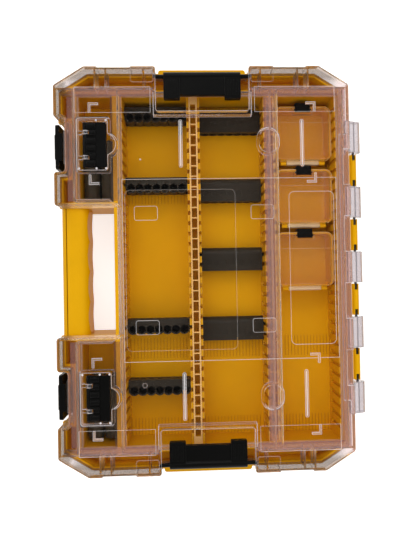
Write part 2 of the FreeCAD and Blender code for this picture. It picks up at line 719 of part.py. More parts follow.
def lid_panels():
    """Shallow sunk fields in the lid's top."""
    top = CASE_TOP + CUT
    step = CASE_TOP - PANEL_DEPTH
    end = COLUMN_END - LIP_CLEARANCE
    left = tab_pocket_plan(LIP_WALL)[0]
    x0 = COLUMN_1 + LID_WALL + CAVITY_RADIUS
    x1 = RIGHT_IN - HINGE_BLOCK_IN
    centre = block(x0, x1, -BAND_INNER_Y, BAND_INNER_Y, step, top)
    label = rounded_block(x0 + CAVITY_RADIUS, PANEL_RIGHT_X, -PANEL_HALF_Y, PANEL_HALF_Y,
                          step - PANEL_DEPTH, top, 2 * CAVITY_RADIUS)
    field = rounded_block(SIDE_PANEL_LEFT_X, x1 - CAVITY_RADIUS, -SIDE_PANEL_HALF_Y, SIDE_PANEL_HALF_Y,
                          step - PANEL_DEPTH, top, 2 * CAVITY_RADIUS)
    clear_of_clip = CLIP_POCKET_HALF + LID_WALL + CAVITY_RADIUS
    outer = block(clear_of_clip, x1, BAND_OUTER_Y, end, step, top)
    outer_left = block(left, -clear_of_clip, BAND_OUTER_Y, end, step, top)
    return [centre, label, field] + both_ends(outer) + both_ends(outer_left)


def lid_marks():
    """Raised ridges, corner marks and pads on the lid's top."""
    high = CASE_TOP + RIDGE_HEIGHT
    low = CASE_TOP - LID_WALL / 2
    half = RIDGE_WIDTH / 2
    end_round = half * ROUND_SHARE
    shapes = []
    for x in (RIDGE_LEFT_X, RIDGE_RIGHT_X):
        y1 = RIDGE_FROM_Y + RIDGE_LENGTH
        shapes += both_ends(rounded_block(x - half, x + half, RIDGE_FROM_Y, y1, low, high, end_round))
    for y, side in ((MARK_OUTER_Y, -1), (MARK_INNER_Y, 1)):
        y0 = min(y, y + side * MARK_LEG)
        y1 = max(y, y + side * MARK_LEG)
        upright = block(MARK_X - MARK_WIDTH, MARK_X, y0, y1, low, high)
        foot_y0 = min(y, y + side * MARK_WIDTH)
        foot = block(MARK_X - MARK_LEG, MARK_X, foot_y0, foot_y0 + MARK_WIDTH, low, high)
        shapes += four_ways(upright.fuse(foot).removeSplitter())
    half_x = PAD_LENGTH / 2
    half_y = PAD_WIDTH / 2
    pad = rounded_block(PAD_X - half_x, PAD_X + half_x, PAD_Y - half_y, PAD_Y + half_y, low, CASE_TOP,
                        CAVITY_RADIUS)
    return shapes + four_ways(pad)


def lid_hinge():
    """Knuckles with arms and raised blocks along the lid's right edge."""
    half = LID_KNUCKLE_LENGTH / 2
    arm = sharp([
        (HALF_W - LID_WALL, BASE_HEIGHT + PIECE_CLEARANCE),
        (HINGE_X, BASE_HEIGHT + PIECE_CLEARANCE),
        (HINGE_X, BASE_HEIGHT + LID_KNUCKLE_RADIUS),
        (HALF_W - LID_WALL, BASE_HEIGHT + LID_ARM_RISE),
    ])
    shapes = []
    for index in range(LID_KNUCKLE_COUNT):
        y = (index - (LID_KNUCKLE_COUNT - 1) / 2) * KNUCKLE_PITCH
        shapes.append(prism_y(arm, y - half, y + half))
        shapes.append(rod_y(HINGE_X, y - half, y + half, BASE_HEIGHT, LID_KNUCKLE_RADIUS))
    return shapes


def lid_edge_tools():
    """The sunk strip between the hinge blocks, and the shallow recesses in the end edges."""
    tools = []
    x0 = HALF_W - HINGE_BLOCK_IN + LID_WALL
    half = (KNUCKLE_PITCH - LID_KNUCKLE_LENGTH) / 2
    for index in range(LID_KNUCKLE_COUNT - 1):
        y = (index - (LID_KNUCKLE_COUNT - 2) / 2) * KNUCKLE_PITCH
        tools.append(block(x0, HALF_W + CUT, y - half, y + half, CASE_TOP - HINGE_STEP, CASE_TOP + CUT))
    y0 = HALF_L - EDGE_RECESS
    recess = block(CHAMFER_X - EDGE_RECESS_START, CHAMFER_X - EDGE_RECESS_END, y0, HALF_L + CUT,
                   BASE_HEIGHT - CUT, CASE_TOP + CUT)
    return tools + four_ways(recess)


def lid_step_floor():
    """Material under the sunk strip, so that the lid stays closed there."""
    x0 = HALF_W - HINGE_BLOCK_IN
    half = KNUCKLE_PITCH * (LID_KNUCKLE_COUNT - 1) / 2
    low = CASE_TOP - HINGE_STEP - LID_WALL
    return block(x0, HALF_W - LID_WALL / 2, -half, half, low, LID_UNDER + LID_WALL / 2)


def latch_catch():
    """The bar on the lid's rim that the front latch hooks over."""
    half = CATCH_WIDTH / 2
    x0 = LID_NOTCH_X - CATCH_REACH
    return block(x0, LID_NOTCH_X, LATCH_Y - half, LATCH_Y + half, CATCH_Z, CATCH_Z + CATCH_HEIGHT)


def tab_cup():
    return tab_pocket(LIP_WALL, CASE_TOP - TAB_POCKET_DEPTH - LIP_WALL, LID_UNDER)


def dimple_cup():
    return dimple(LIP_WALL, CASE_TOP - DIMPLE_DEPTH - LIP_WALL, LID_UNDER)


def lid_moulding():
    shapes = [lid_shell(), lid_step_floor()] + lid_lips() + clip_pocket_body()
    shapes += tab_cup() + dimple_cup() + lid_hinge()
    body = joined(shapes)
    tools = clip_pocket_tools() + tab_pocket(0, CASE_TOP - TAB_POCKET_DEPTH, CASE_TOP + CUT)
    tools += dimple(0, CASE_TOP - DIMPLE_DEPTH, CASE_TOP + CUT)
    tools += lid_panels() + lid_edge_tools() + [hinge_bore()]
    body = cut(body, tools)
    body = joined([body] + lid_marks() + tab_lugs())
    return cut(body, tab_bore())


def clip_cup():
    half = CLIP_POCKET_HALF + LID_WALL
    y0 = HALF_L - CLIP_POCKET_REACH - LID_WALL
    return both_ends(block(-half, half, y0, HALF_L, CLIP_FLOOR - LID_WALL, LID_UNDER))


def lid_pieces():
    """The lid's moulding, parted into its panel, rim, lips and the cups that hang under the panel."""
    moulding = lid_moulding()
    far = CASE_LENGTH
    tabs = [cup.fuse(mouth) for cup, mouth in zip(tab_cup(), tab_pocket(0, LID_UNDER, CASE_TOP))]
    clips = clip_cup()
    dimples = dimple_cup()
    pieces = {
        "tab_recess_upper": moulding.common(tabs[0]), "tab_recess_lower": moulding.common(tabs[1]),
        "clip_pocket_top": moulding.common(clips[0]), "clip_pocket_bottom": moulding.common(clips[1]),
        "lid_hollow_upper": moulding.common(dimples[0]), "lid_hollow_lower": moulding.common(dimples[1]),
    }
    moulding = cut(moulding, tabs + clips + dimples)
    above = block(-far, far, -far, far, LID_UNDER, far)
    pieces["lid"] = moulding.common(above)
    below = cut(moulding, [above])
    inside = prism_z(inset(lid_outline(), LID_WALL), 0, LID_UNDER)
    rim = cut(below, [inside])
    lips = below.common(inside)
    left_upper = block(-far, 0, 0, far, 0, LID_UNDER)
    left_lower = block(-far, 0, -far, 0, 0, LID_UNDER)
    pieces["lid_rim_upper_left"] = rim.common(left_upper)
    pieces["lid_rim_lower_left"] = rim.common(left_lower)
    pieces["lid_rim_right"] = cut(rim, [left_upper, left_lower])
    middle = (HAND_RIGHT + COLUMN_1) / 2
    side_upper = block(-far, middle, 0, far, 0, LID_UNDER)
    side_lower = block(-far, middle, -far, 0, 0, LID_UNDER)
    pieces["lid_lips_upper_left"] = lips.common(side_upper)
    pieces["lid_lips_lower_left"] = lips.common(side_lower)
    pieces["lid_lips_main"] = cut(lips, [side_upper, side_lower])
    pieces["latch_catch_upper"] = latch_catch()
    pieces["latch_catch_lower"] = flip_y(latch_catch())
    return pieces


def hinge_pin():
    reach = (LID_KNUCKLE_COUNT - 1) * KNUCKLE_PITCH / 2 + LID_KNUCKLE_LENGTH / 2
    return rod_y(HINGE_X, -reach, reach, BASE_HEIGHT, HINGE_PIN_RADIUS)


def front_latch():
    """A hooked plate that swings out about its lower pin."""
    half = LATCH_WIDTH / 2
    x0 = LATCH_FACE_X
    x1 = x0 + LATCH_PLATE
    nose_z = CATCH_Z + CATCH_HEIGHT + SIDE_CLEARANCE
    top = nose_z + LATCH_NOSE_HEIGHT
    plate = rounded_block_x(x0, x1, LATCH_Y - half, LATCH_Y + half, LATCH_PIVOT_Z, top, CAVITY_RADIUS)
    nose_half = CATCH_WIDTH / 2 - CAVITY_RADIUS
    nose = block(x1, x1 + LATCH_NOSE, LATCH_Y - nose_half, LATCH_Y + nose_half, nose_z, top)
    barrel = rod_y(LATCH_PIVOT_X, LATCH_Y - half, LATCH_Y + half, LATCH_PIVOT_Z, LATCH_BARREL_RADIUS)
    web = block(x0, LATCH_PIVOT_X, LATCH_Y - half, LATCH_Y + half, LATCH_PIVOT_Z,
                LATCH_PIVOT_Z + LATCH_BARREL_RADIUS)
    grip_half = LATCH_GRIP_WIDTH / 2
    grip_low = LATCH_PIVOT_Z + 2 * LATCH_BARREL_RADIUS
    grip = block(x0 - LATCH_GRIP_PROUD, x0, LATCH_Y - grip_half, LATCH_Y + grip_half, grip_low, top - CUT)
    body = joined([plate, nose, barrel, web, grip])
    radius = LATCH_PIN_RADIUS + RUNNING_CLEARANCE
    bore = rod_y(LATCH_PIVOT_X, LATCH_Y - half - CUT, LATCH_Y + half + CUT, LATCH_PIVOT_Z, radius)
    return cut(body, [bore])


def latch_pin():
    reach = LATCH_RECESS_HALF + LATCH_PIN_HOLD
    return rod_y(LATCH_PIVOT_X, LATCH_Y - reach, LATCH_Y + reach, LATCH_PIVOT_Z, LATCH_PIN_RADIUS)


def lid_tab():
    """A ribbed flip tab that lies in the lid's recess."""
    half = TAB_WIDTH / 2
    x0 = TAB_PIVOT_X
    x1 = x0 + TAB_REACH
    z0 = TAB_PIVOT_Z - TAB_PLATE / 2
    z1 = TAB_PIVOT_Z + TAB_PLATE / 2
    plate = rounded_block(x0, x1, LATCH_Y - half, LATCH_Y + half, z0, z1, CUT)
    barrel = rod_y(x0, LATCH_Y - half, LATCH_Y + half, TAB_PIVOT_Z, TAB_BARREL_RADIUS)
    ribs = []
    pitch = TAB_WIDTH / TAB_RIB_COUNT
    for index in range(TAB_RIB_COUNT):
        y = LATCH_Y - half + (index + 0.5) * pitch
        rib_half = TAB_RIB_WIDTH / 2
        profile = rectangle(y - rib_half, y + rib_half, z1 - TAB_RIB_RISE, z1 + TAB_RIB_RISE,
                            TAB_RIB_RISE * ROUND_SHARE)
        ribs.append(prism_x(profile, x0 + CUT, x0 + TAB_RIB_REACH))
    body = joined([plate, barrel] + ribs)
    gap = TAB_LUG_WIDTH / 2 + SIDE_CLEARANCE
    clear = TAB_LUG_RADIUS + PIECE_CLEARANCE
    tools = []
    for side in (-1, 1):
        y = LATCH_Y + side * TAB_LUG_SPREAD / 2
        tools.append(block(x0 - clear, x0 + clear, y - gap, y + gap, z0 - CUT, z1 + 2 * TAB_RIB_RISE))
    radius = TAB_PIN_RADIUS + RUNNING_CLEARANCE
    tools.append(rod_y(x0, LATCH_Y - half - CUT, LATCH_Y + half + CUT, TAB_PIVOT_Z, radius))
    return cut(body, tools)


def tab_pin():
    reach = TAB_WIDTH / 2
    return rod_y(TAB_PIVOT_X, LATCH_Y - reach, LATCH_Y + reach, TAB_PIVOT_Z, TAB_PIN_RADIUS)


def end_clip():
    """A flip clip with two end blocks and a lower middle, on its own trunnions."""
    half = CLIP_WIDTH / 2
    y1 = CLIP_PIVOT_Y
    z0 = CLIP_PIVOT_Z - CLIP_BARREL_RADIUS
    z1 = z0 + CLIP_THICKNESS
    barrel = rod_x(-half, half, y1, CLIP_PIVOT_Z, CLIP_BARREL_RADIUS)
    middle = block(-half, half, y1 - CLIP_CENTRE_REACH, y1, z0, z1 - CLIP_CENTRE_RECESS)
    shapes = [barrel, middle]
    for side in (-1, 1):
        x0 = min(side * half, side * (half - CLIP_BLOCK_WIDTH))
        shapes.append(rounded_block(x0, x0 + CLIP_BLOCK_WIDTH, y1 - CLIP_REACH, y1, z0, z1, CUT))
    reach = CLIP_POCKET_HALF + CLIP_TRUNNION_HOLD
    shapes.append(rod_x(-reach, reach, y1, CLIP_PIVOT_Z, CLIP_TRUNNION_RADIUS))
    return joined(shapes)


def hexagon(x, y, across):
    radius = across / math.sqrt(3)
    angles = [math.radians(60 * step + 30) for step in range(6)]
    return sharp([(x + radius * math.cos(a), y + radius * math.sin(a)) for a in angles])


def bit_bar():
    """A bar of hexagon sockets on its pivot line, upright, with the pivot at the origin."""
    half = BAR_LENGTH / 2
    lobe_y = -BAR_FRONT + BAR_LOBE_RADIUS
    shapes = [block(-half, half, lobe_y, BAR_BACK, 0, BAR_RISE)]
    shapes.append(rod_x(-half, half, 0, 0, BAR_BACK))
    reach = half + BAR_PIN
    shapes.append(rod_x(-reach, reach, 0, 0, BAR_PIN_RADIUS))
    tools = []
    for index in range(BAR_SOCKETS):
        x = (index - (BAR_SOCKETS - 1) / 2) * BAR_SOCKET_PITCH
        shapes.append(rod_z(x, lobe_y, 0, BAR_RISE, BAR_LOBE_RADIUS))
        tools.append(prism_z(hexagon(x, lobe_y, BAR_HEX), BAR_RISE - BAR_SOCKET_DEPTH, BAR_RISE + CUT))
        mark = Part.makeCylinder(BAR_DIMPLE_RADIUS, CUT, vec(x, BAR_BACK - BAR_DIMPLE_DEPTH, BAR_RISE / 2),
                                 vec(0, 1, 0))
        tools.append(mark)
    return cut(joined(shapes), tools)


def upright_bar(column, slot):
    bar = bit_bar()
    bar.translate(vec(column + COLUMN_WIDTH / 2, slot_y(slot), BAR_PIVOT_Z))
    return bar


def flat_bar(column, slot):
    bar = bit_bar()
    bar.rotate(vec(0, 0, 0), vec(1, 0, 0), 90)
    bar.translate(vec(column + COLUMN_WIDTH / 2, slot_y(slot), BAR_PIVOT_Z))
    return bar


def spare_bar(place, y):
    """A loose bar standing on its sockets along Y, beside others on the floor of a side compartment."""
    bar = bit_bar()
    bar.rotate(vec(0, 0, 0), vec(1, 0, 0), 180)
    bar.rotate(vec(0, 0, 0), vec(0, 0, 1), 90)
    left = LEFT_IN + SPARE_ROOM + place * (BAR_WIDTH + SPARE_ROOM)
    bar.translate(vec(left + BAR_FRONT, y, FLOOR + BAR_RISE))
    return bar


def box_y(index):
    return BOX_FIRST_Y - index * BOX_PITCH


def box_hinge_y(index):
    return box_y(index) - BOX_LENGTH / 2 - BOX_HINGE_ROOM - BOX_KNUCKLE_RADIUS


def box_plan(index, grow):
    """The rounded plan of a bit box, moved inwards by a wall."""
    y0 = box_y(index) - BOX_LENGTH / 2 + grow
    y1 = box_y(index) + BOX_LENGTH / 2 - grow
    return rectangle(BOX_LEFT + grow, BOX_RIGHT - grow, y0, y1, BOX_CORNER - grow)


def bit_box(index):
    body = prism_z(box_plan(index, 0), FLOOR, BOX_PARTING)
    inside = prism_z(box_plan(index, BOX_WALL), FLOOR + BOX_WALL, BOX_PARTING + CUT)
    back = box_y(index) - BOX_LENGTH / 2
    front = box_y(index) + BOX_LENGTH / 2
    half = BOX_LATCH_WIDTH / 2
    ledge_top = BOX_TOP - BOX_LATCH_DROP + BOX_LATCH_BARB_HEIGHT + PIECE_CLEARANCE + BOX_LEDGE_HEIGHT
    ledge = block(BOX_X - half, BOX_X + half, front - BOX_WALL / 2, front + BOX_LEDGE,
                  ledge_top - BOX_LEDGE_HEIGHT, ledge_top)
    shapes = [cut(body, [inside]), ledge]
    hinge_y = box_hinge_y(index)
    offset = BOX_LID_KNUCKLE / 2 + PIECE_CLEARANCE
    for side in (-1, 1):
        x0 = BOX_X + min(side * offset, side * (offset + BOX_END_KNUCKLE))
        x1 = x0 + BOX_END_KNUCKLE
        shapes.append(rod_x(x0, x1, hinge_y, BOX_PARTING, BOX_KNUCKLE_RADIUS))
        shapes.append(block(x0, x1, hinge_y, back + BOX_WALL / 2, BOX_PARTING - BOX_ARM,
                            BOX_PARTING - PIECE_CLEARANCE / 2))
    return cut(joined(shapes), [box_bore(index)])


def box_bore(index):
    reach = BOX_LID_KNUCKLE / 2 + PIECE_CLEARANCE + BOX_END_KNUCKLE
    return rod_x(BOX_X - reach, BOX_X + reach, box_hinge_y(index), BOX_PARTING,
                 BOX_PIN_RADIUS + RUNNING_CLEARANCE)


def box_pin(index):
    reach = BOX_LID_KNUCKLE / 2 + PIECE_CLEARANCE + BOX_END_KNUCKLE
    return rod_x(BOX_X - reach, BOX_X + reach, box_hinge_y(index), BOX_PARTING, BOX_PIN_RADIUS)


def box_lid(index):
    """A clear cap with a rounded back edge, a step across it and a notch for its latch."""
    back = box_y(index) - BOX_LENGTH / 2
    front = box_y(index) + BOX_LENGTH / 2
    cap = prism_z(box_plan(index, 0), BOX_PARTING, BOX_TOP)
    profile = [
        (back - CUT, BOX_PARTING - CUT, 0.0), (front + CUT, BOX_PARTING - CUT, 0.0),
        (front + CUT, BOX_TOP - BOX_STEP, 0.0), (front - BOX_STEP_FROM_FRONT, BOX_TOP - BOX_STEP, 0.0),
        (front - BOX_STEP_FROM_FRONT, BOX_TOP, 0.0), (back, BOX_TOP, BOX_BACK_ROUND),
        (back, BOX_PARTING, 0.0), (back - CUT, BOX_PARTING, 0.0),
    ]
    cap = cap.common(prism_x(profile, BOX_LEFT - CUT, BOX_RIGHT + CUT))
    inside = prism_z(box_plan(index, BOX_WALL), BOX_PARTING - CUT, BOX_TOP - BOX_STEP - BOX_WALL)
    notch_half = BOX_LATCH_WIDTH / 2 + PIECE_CLEARANCE
    notch_in = BOX_LATCH_REACH + PIECE_CLEARANCE
    cheek = notch_half + BOX_LATCH_TRUNNION_HOLD + BOX_WALL / 2
    under = block(BOX_X - cheek, BOX_X + cheek, front - notch_in - BOX_WALL, front - BOX_WALL / 2,
                  BOX_PARTING, BOX_TOP - BOX_STEP - BOX_WALL / 2)
    hinge_y = box_hinge_y(index)
    half = BOX_LID_KNUCKLE / 2
    knuckle = rod_x(BOX_X - half, BOX_X + half, hinge_y, BOX_PARTING, BOX_KNUCKLE_RADIUS)
    arm = block(BOX_X - half, BOX_X + half, hinge_y, back + BOX_WALL / 2, BOX_PARTING + PIECE_CLEARANCE / 2,
                BOX_PARTING + BOX_ARM)
    body = joined([cut(cap, [inside]), under, knuckle, arm])
    notch = block(BOX_X - notch_half, BOX_X + notch_half, front - notch_in, front + CUT,
                  BOX_TOP - BOX_NOTCH_DEPTH, BOX_TOP + CUT)
    reach = notch_half + BOX_LATCH_TRUNNION_HOLD
    trunnions = rod_x(BOX_X - reach, BOX_X + reach, front - BOX_LATCH_PIVOT_IN, BOX_TOP - BOX_LATCH_PIVOT_DROP,
                      BOX_LATCH_TRUNNION + RUNNING_CLEARANCE)
    return cut(body, [notch, trunnions, box_bore(index)])


def box_latch(index):
    """A snap latch that rocks in the box lid's notch and hooks under the box's ledge."""
    front = box_y(index) + BOX_LENGTH / 2
    half = BOX_LATCH_WIDTH / 2
    x0 = BOX_X - half
    x1 = BOX_X + half
    pivot_y = front - BOX_LATCH_PIVOT_IN
    pivot_z = BOX_TOP - BOX_LATCH_PIVOT_DROP
    leg_in = front + BOX_LATCH_GAP
    leg_out = leg_in + BOX_LATCH_LEG
    low = BOX_TOP - BOX_LATCH_DROP
    barrel = rod_x(x0, x1, pivot_y, pivot_z, BOX_LATCH_BARREL)
    plate = block(x0, x1, front - BOX_LATCH_REACH, leg_out, pivot_z, BOX_TOP)
    leg = block(x0, x1, leg_in, leg_out, low, BOX_TOP)
    barb = block(x0, x1, leg_in - BOX_LATCH_BARB, leg_in, low, low + BOX_LATCH_BARB_HEIGHT)
    reach = half + PIECE_CLEARANCE + BOX_LATCH_TRUNNION_HOLD - PIECE_CLEARANCE / 2
    trunnions = rod_x(BOX_X - reach, BOX_X + reach, pivot_y, pivot_z, BOX_LATCH_TRUNNION)
    return joined([barrel, plate, leg, barb, trunnions])


def all_pieces():
    """Every node's name and its solid, in the drawing axes."""
    pieces = {
        "base_tray": base_tray(),
        "partition_left": partition(PARTITION_LEFT),
        "partition_right": partition(PARTITION_RIGHT),
        "hinge_pin": hinge_pin(),
    }
    pieces.update(lid_pieces())
    for name, make in (("front_latch", front_latch), ("latch_pin", latch_pin),
                       ("lid_tab", lid_tab), ("tab_pin", tab_pin)):
        pieces[name + "_upper"] = make()
        pieces[name + "_lower"] = flip_y(make())
    pieces["end_clip_top"] = end_clip()
    pieces["end_clip_bottom"] = flip_y(end_clip())
    for number, slot in enumerate(UPRIGHT_BAR_SLOTS, 1):
        pieces["left_bit_bar_%d" % number] = upright_bar(COLUMN_1, slot)
    for number, slot in enumerate(FLAT_BAR_SLOTS, 1):
        pieces["middle_bit_bar_%d" % number] = flat_bar(COLUMN_2, slot)
    for place in range(SPARE_COUNT):
        pieces["spare_bit_bar_upper_%d" % (place + 1)] = spare_bar(place, COLUMN_END - SPARE_UPPER_IN)
        pieces["spare_bit_bar_lower_%d" % (place + 1)] = spare_bar(place, SPARE_LOWER_IN - COLUMN_END)
    for index in range(BOX_COUNT):
        number = index + 1
        pieces["bit_box_%d" % number] = bit_box(index)
        pieces["bit_box_lid_%d" % number] = box_lid(index)
        pieces["bit_box_pin_%d" % number] = box_pin(index)
        pieces["bit_box_latch_%d" % number] = box_latch(index)
    return pieces


def main():
    os.makedirs("parts", exist_ok=True)
    for name, shape in all_pieces().items():
        shape.translate(vec(-ORIGIN_X, 0, 0))
        shape.exportStep("parts/%s.step" % name)
        size = shape.BoundBox
        print("%-22s solids %d valid %s volume %.0f box %.1f x %.1f x %.1f" % (
            name, len(shape.Solids), shape.isValid(), shape.Volume, size.XLength, size.YLength, size.ZLength))


if __name__ == "__main__":
    main()
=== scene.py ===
# %% [markdown]
# # A flat organiser case for driver bits, with a clear lid
# The real case is a yellow tray with a clear hinged lid, black latches and clips, and rows of
# dark bars that hold bits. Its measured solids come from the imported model, which is loaded first.
# Everything below dresses those solids: light, camera, finishes, and the fine details of moulding.
# The box of the solids is kept, because the finished case must not grow beyond it.

# %% Load the measured case
import bpy
import bmesh
import json
import math
from mathutils import Matrix, Vector
from mathutils.bvhtree import BVHTree
from mathutils.kdtree import KDTree

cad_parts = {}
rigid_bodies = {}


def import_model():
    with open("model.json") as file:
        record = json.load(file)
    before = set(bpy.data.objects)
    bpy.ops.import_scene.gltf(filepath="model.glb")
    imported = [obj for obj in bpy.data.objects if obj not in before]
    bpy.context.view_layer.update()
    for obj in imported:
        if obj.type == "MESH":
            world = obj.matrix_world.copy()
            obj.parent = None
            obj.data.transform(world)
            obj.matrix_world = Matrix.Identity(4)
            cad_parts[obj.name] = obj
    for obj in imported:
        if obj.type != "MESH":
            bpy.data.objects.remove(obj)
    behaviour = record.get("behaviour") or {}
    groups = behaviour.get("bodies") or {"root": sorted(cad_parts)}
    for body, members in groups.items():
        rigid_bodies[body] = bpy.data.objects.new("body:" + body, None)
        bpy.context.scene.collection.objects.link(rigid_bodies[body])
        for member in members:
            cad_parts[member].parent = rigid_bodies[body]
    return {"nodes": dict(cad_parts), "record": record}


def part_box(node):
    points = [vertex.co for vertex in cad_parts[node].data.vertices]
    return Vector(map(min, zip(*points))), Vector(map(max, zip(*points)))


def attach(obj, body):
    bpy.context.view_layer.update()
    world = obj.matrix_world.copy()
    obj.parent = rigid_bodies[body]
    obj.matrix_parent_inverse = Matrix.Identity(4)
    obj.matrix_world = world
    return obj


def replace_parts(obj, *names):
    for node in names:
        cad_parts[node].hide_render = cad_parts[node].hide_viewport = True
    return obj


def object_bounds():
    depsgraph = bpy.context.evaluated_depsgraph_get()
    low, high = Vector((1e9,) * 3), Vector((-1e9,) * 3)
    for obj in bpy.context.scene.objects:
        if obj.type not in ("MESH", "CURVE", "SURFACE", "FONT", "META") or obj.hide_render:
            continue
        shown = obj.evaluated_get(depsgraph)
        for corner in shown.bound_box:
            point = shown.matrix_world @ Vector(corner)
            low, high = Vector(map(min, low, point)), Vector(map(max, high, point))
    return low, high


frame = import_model()
cad_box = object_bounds()
MM = 0.001
LID_HALF = 118.0
nodes = frame["nodes"]
bodies = frame["record"]["behaviour"]["bodies"]
CASE_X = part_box("lid")[0].x / MM + LID_HALF


def spot(x, y, z):
    """A place given in millimetres from the middle of the lid, as a point of the model."""
    return Vector(((x + CASE_X) * MM, y * MM, z * MM))


print("case box in mm:", [round((b - a) / MM, 1) for a, b in zip(*cad_box)])
print("measured solids:", len(nodes))

# %% [markdown]
# ## The camera
# The case was photographed from straight above at about half a metre, hand held, so the view is
# turned by a few degrees. A camera could be aimed with a constraint, but three measured
# angles and a place are shorter and leave nothing live in the file.

# %% Camera above the lid
VIEW_FROM = (-8.11, -5.01, 526.49)
VIEW_TURN = (0.699, -2.587, -1.025)
VIEW_LENS, VIEW_SENSOR, VIEW_SHIFT = 38.70, 36.0, (-0.0352, -0.0027)
turn = Vector([math.radians(a) for a in VIEW_TURN])
camera_data = bpy.data.cameras.new("photo_camera")
camera_data.lens = VIEW_LENS
camera_data.sensor_width = VIEW_SENSOR
camera_data.shift_x, camera_data.shift_y = VIEW_SHIFT
camera = bpy.data.objects.new("photo_camera", camera_data)
camera.matrix_world = (Matrix.Translation(spot(*VIEW_FROM))
                       @ Matrix.Rotation(turn.length, 4, turn.normalized()))
bpy.context.scene.collection.objects.link(camera)
bpy.context.scene.camera = camera
print("camera height above the table in mm:", round(camera.matrix_world.translation.z / MM))

# %% [markdown]
# ## Small helpers for materials
# Every material here is a small tree of nodes. They could be wired by hand in the shader editor.
# In a script the same few moves come again and again: add a node, do a sum, mix two colours, and
# turn one range into another. Each gets a helper, so that a recipe reads like a list.


# %% Helpers for nodes
def new_material(name):
    """An empty material and its tree."""
    material = bpy.data.materials.new(name)
    material.use_nodes = True
    material.node_tree.nodes.clear()
    return material, material.node_tree


def add_node(tree, kind, **settings):
    """A node with its settings and constant sockets filled in."""
    node = tree.nodes.new("ShaderNode" + kind)
    for key, value in settings.items():
        if hasattr(node, key):
            setattr(node, key, value)
        else:
            node.inputs[key.replace("_", " ")].default_value = value
    return node


def fill(tree, socket, value):
    """A socket takes a constant, or a link to another node."""
    if isinstance(value, bpy.types.NodeSocket):
        tree.links.new(value, socket)
    else:
        socket.default_value = value


def sum_of(tree, operation, a, b):
    """A sum on two values, each a constant or another node's value."""
    node = add_node(tree, "Math", operation=operation)
    fill(tree, node.inputs[0], a)
    fill(tree, node.inputs[1], b)
    return node.outputs[0]


print("first helpers ready:", new_material.__name__, add_node.__name__, fill.__name__)


# %% Helpers that mix and grade
def mixed(tree, share, first, second):
    """A colour between two others, each a constant or another node's colour."""
    node = add_node(tree, "MixRGB")
    for socket, value in zip(node.inputs, (share, first, second)):
        fill(tree, socket, (*value, 1.0) if isinstance(value, tuple) else value)
    return node.outputs[0]


def graded(tree, value, low, high, span=(0.0, 1.0), curve="LINEAR"):
    """A value that runs over the span, turned into the range from low to high."""
    node = add_node(tree, "MapRange", interpolation_type=curve)
    limits = {"From Min": span[0], "From Max": span[1], "To Min": low, "To Max": high}
    for socket, limit in limits.items():
        node.inputs[socket].default_value = limit
    tree.links.new(value, node.inputs["Value"])
    return node.outputs[0]


def mirrored_or_bent(tree):
    """1 for what is seen in a polished surface or through clear plastic."""
    path = add_node(tree, "LightPath").outputs
    return sum_of(tree, "MAXIMUM", path["Is Glossy Ray"], path["Is Transmission Ray"])


def wear_surface(tree, shader, kind="OutputMaterial"):
    """The shader becomes what the material shows."""
    tree.links.new(shader.outputs[0], add_node(tree, kind).inputs["Surface"])


print("more helpers ready:", mixed.__name__, graded.__name__, wear_surface.__name__)

# %% [markdown]
# ## The white table
# The case lies on a large white sheet. A diffuse sheet alone would render grey at a plain level
# of light. So the sheet also glows a little, but only to the camera and in polished plastic: it
# reads as white, and the soft shadow of the case stays visible.

# %% White table
TABLE_GLOW, TABLE_GREY, TABLE_HALF, TABLE_BELOW = 0.62, 0.8, 6.0, 0.2
table_white, tree = new_material("white_table")
paper = add_node(tree, "BsdfDiffuse", Color=(TABLE_GREY, TABLE_GREY, TABLE_GREY, 1.0))
glow = add_node(tree, "Emission", Color=(1.0, 1.0, 1.0, 1.0))
straight = add_node(tree, "LightPath").outputs["Is Camera Ray"]
seen = sum_of(tree, "MAXIMUM", straight, mirrored_or_bent(tree))
tree.links.new(sum_of(tree, "MULTIPLY", seen, TABLE_GLOW), glow.inputs["Strength"])
both = add_node(tree, "AddShader")
tree.links.new(paper.outputs[0], both.inputs[0])
tree.links.new(glow.outputs[0], both.inputs[1])
wear_surface(tree, both)

table_mesh = bpy.data.meshes.new("white_table")
bm = bmesh.new()
bmesh.ops.create_grid(bm, x_segments=1, y_segments=1, size=TABLE_HALF)
bm.to_mesh(table_mesh)
bm.free()
table_mesh.materials.append(table_white)
table = bpy.data.objects.new("white_table", table_mesh)
table.location.z = cad_box[0].z - TABLE_BELOW * MM
bpy.context.scene.collection.objects.link(table)
print("table at", round(table.location.z / MM, 2), "mm")

# %% [markdown]
# ## The studio sky
# The sky is white at the horizon and dim overhead: the flat lid mirrors the part overhead, and a
# bright one would lay a veil over everything inside. The light that the sky gives is strongest
# overhead, as under a large soft box. One picture of a studio could do both jobs, but two simple
# grades by height are plainer, and the kind of ray chooses between them.

# %% Sky for mirrors and sky for light
SKY_LOW, SKY_TOP, SKY_SPAN = 1.0, 0.03, (0.35, 0.85)
LIGHT_LOW, LIGHT_TOP, LIGHT_SPAN = 0.25, 1.15, (0.3, 0.95)
sky = bpy.data.worlds.new("studio_sky")
bpy.context.scene.world = sky
sky.use_nodes = True
tree = sky.node_tree
tree.nodes.clear()
height = add_node(tree, "SeparateXYZ")
tree.links.new(add_node(tree, "TexCoord").outputs["Generated"], height.inputs[0])
up = height.outputs["Z"]
mirror_sky = graded(tree, up, SKY_LOW, SKY_TOP, SKY_SPAN, "SMOOTHSTEP")
soft_box = graded(tree, up, LIGHT_LOW, LIGHT_TOP, LIGHT_SPAN, "SMOOTHSTEP")
shown = add_node(tree, "Mix", data_type="FLOAT")
for socket, value in zip((0, 2, 3), (mirrored_or_bent(tree), soft_box, mirror_sky)):
    tree.links.new(value, shown.inputs[socket])
direct = add_node(tree, "Mix", data_type="FLOAT")
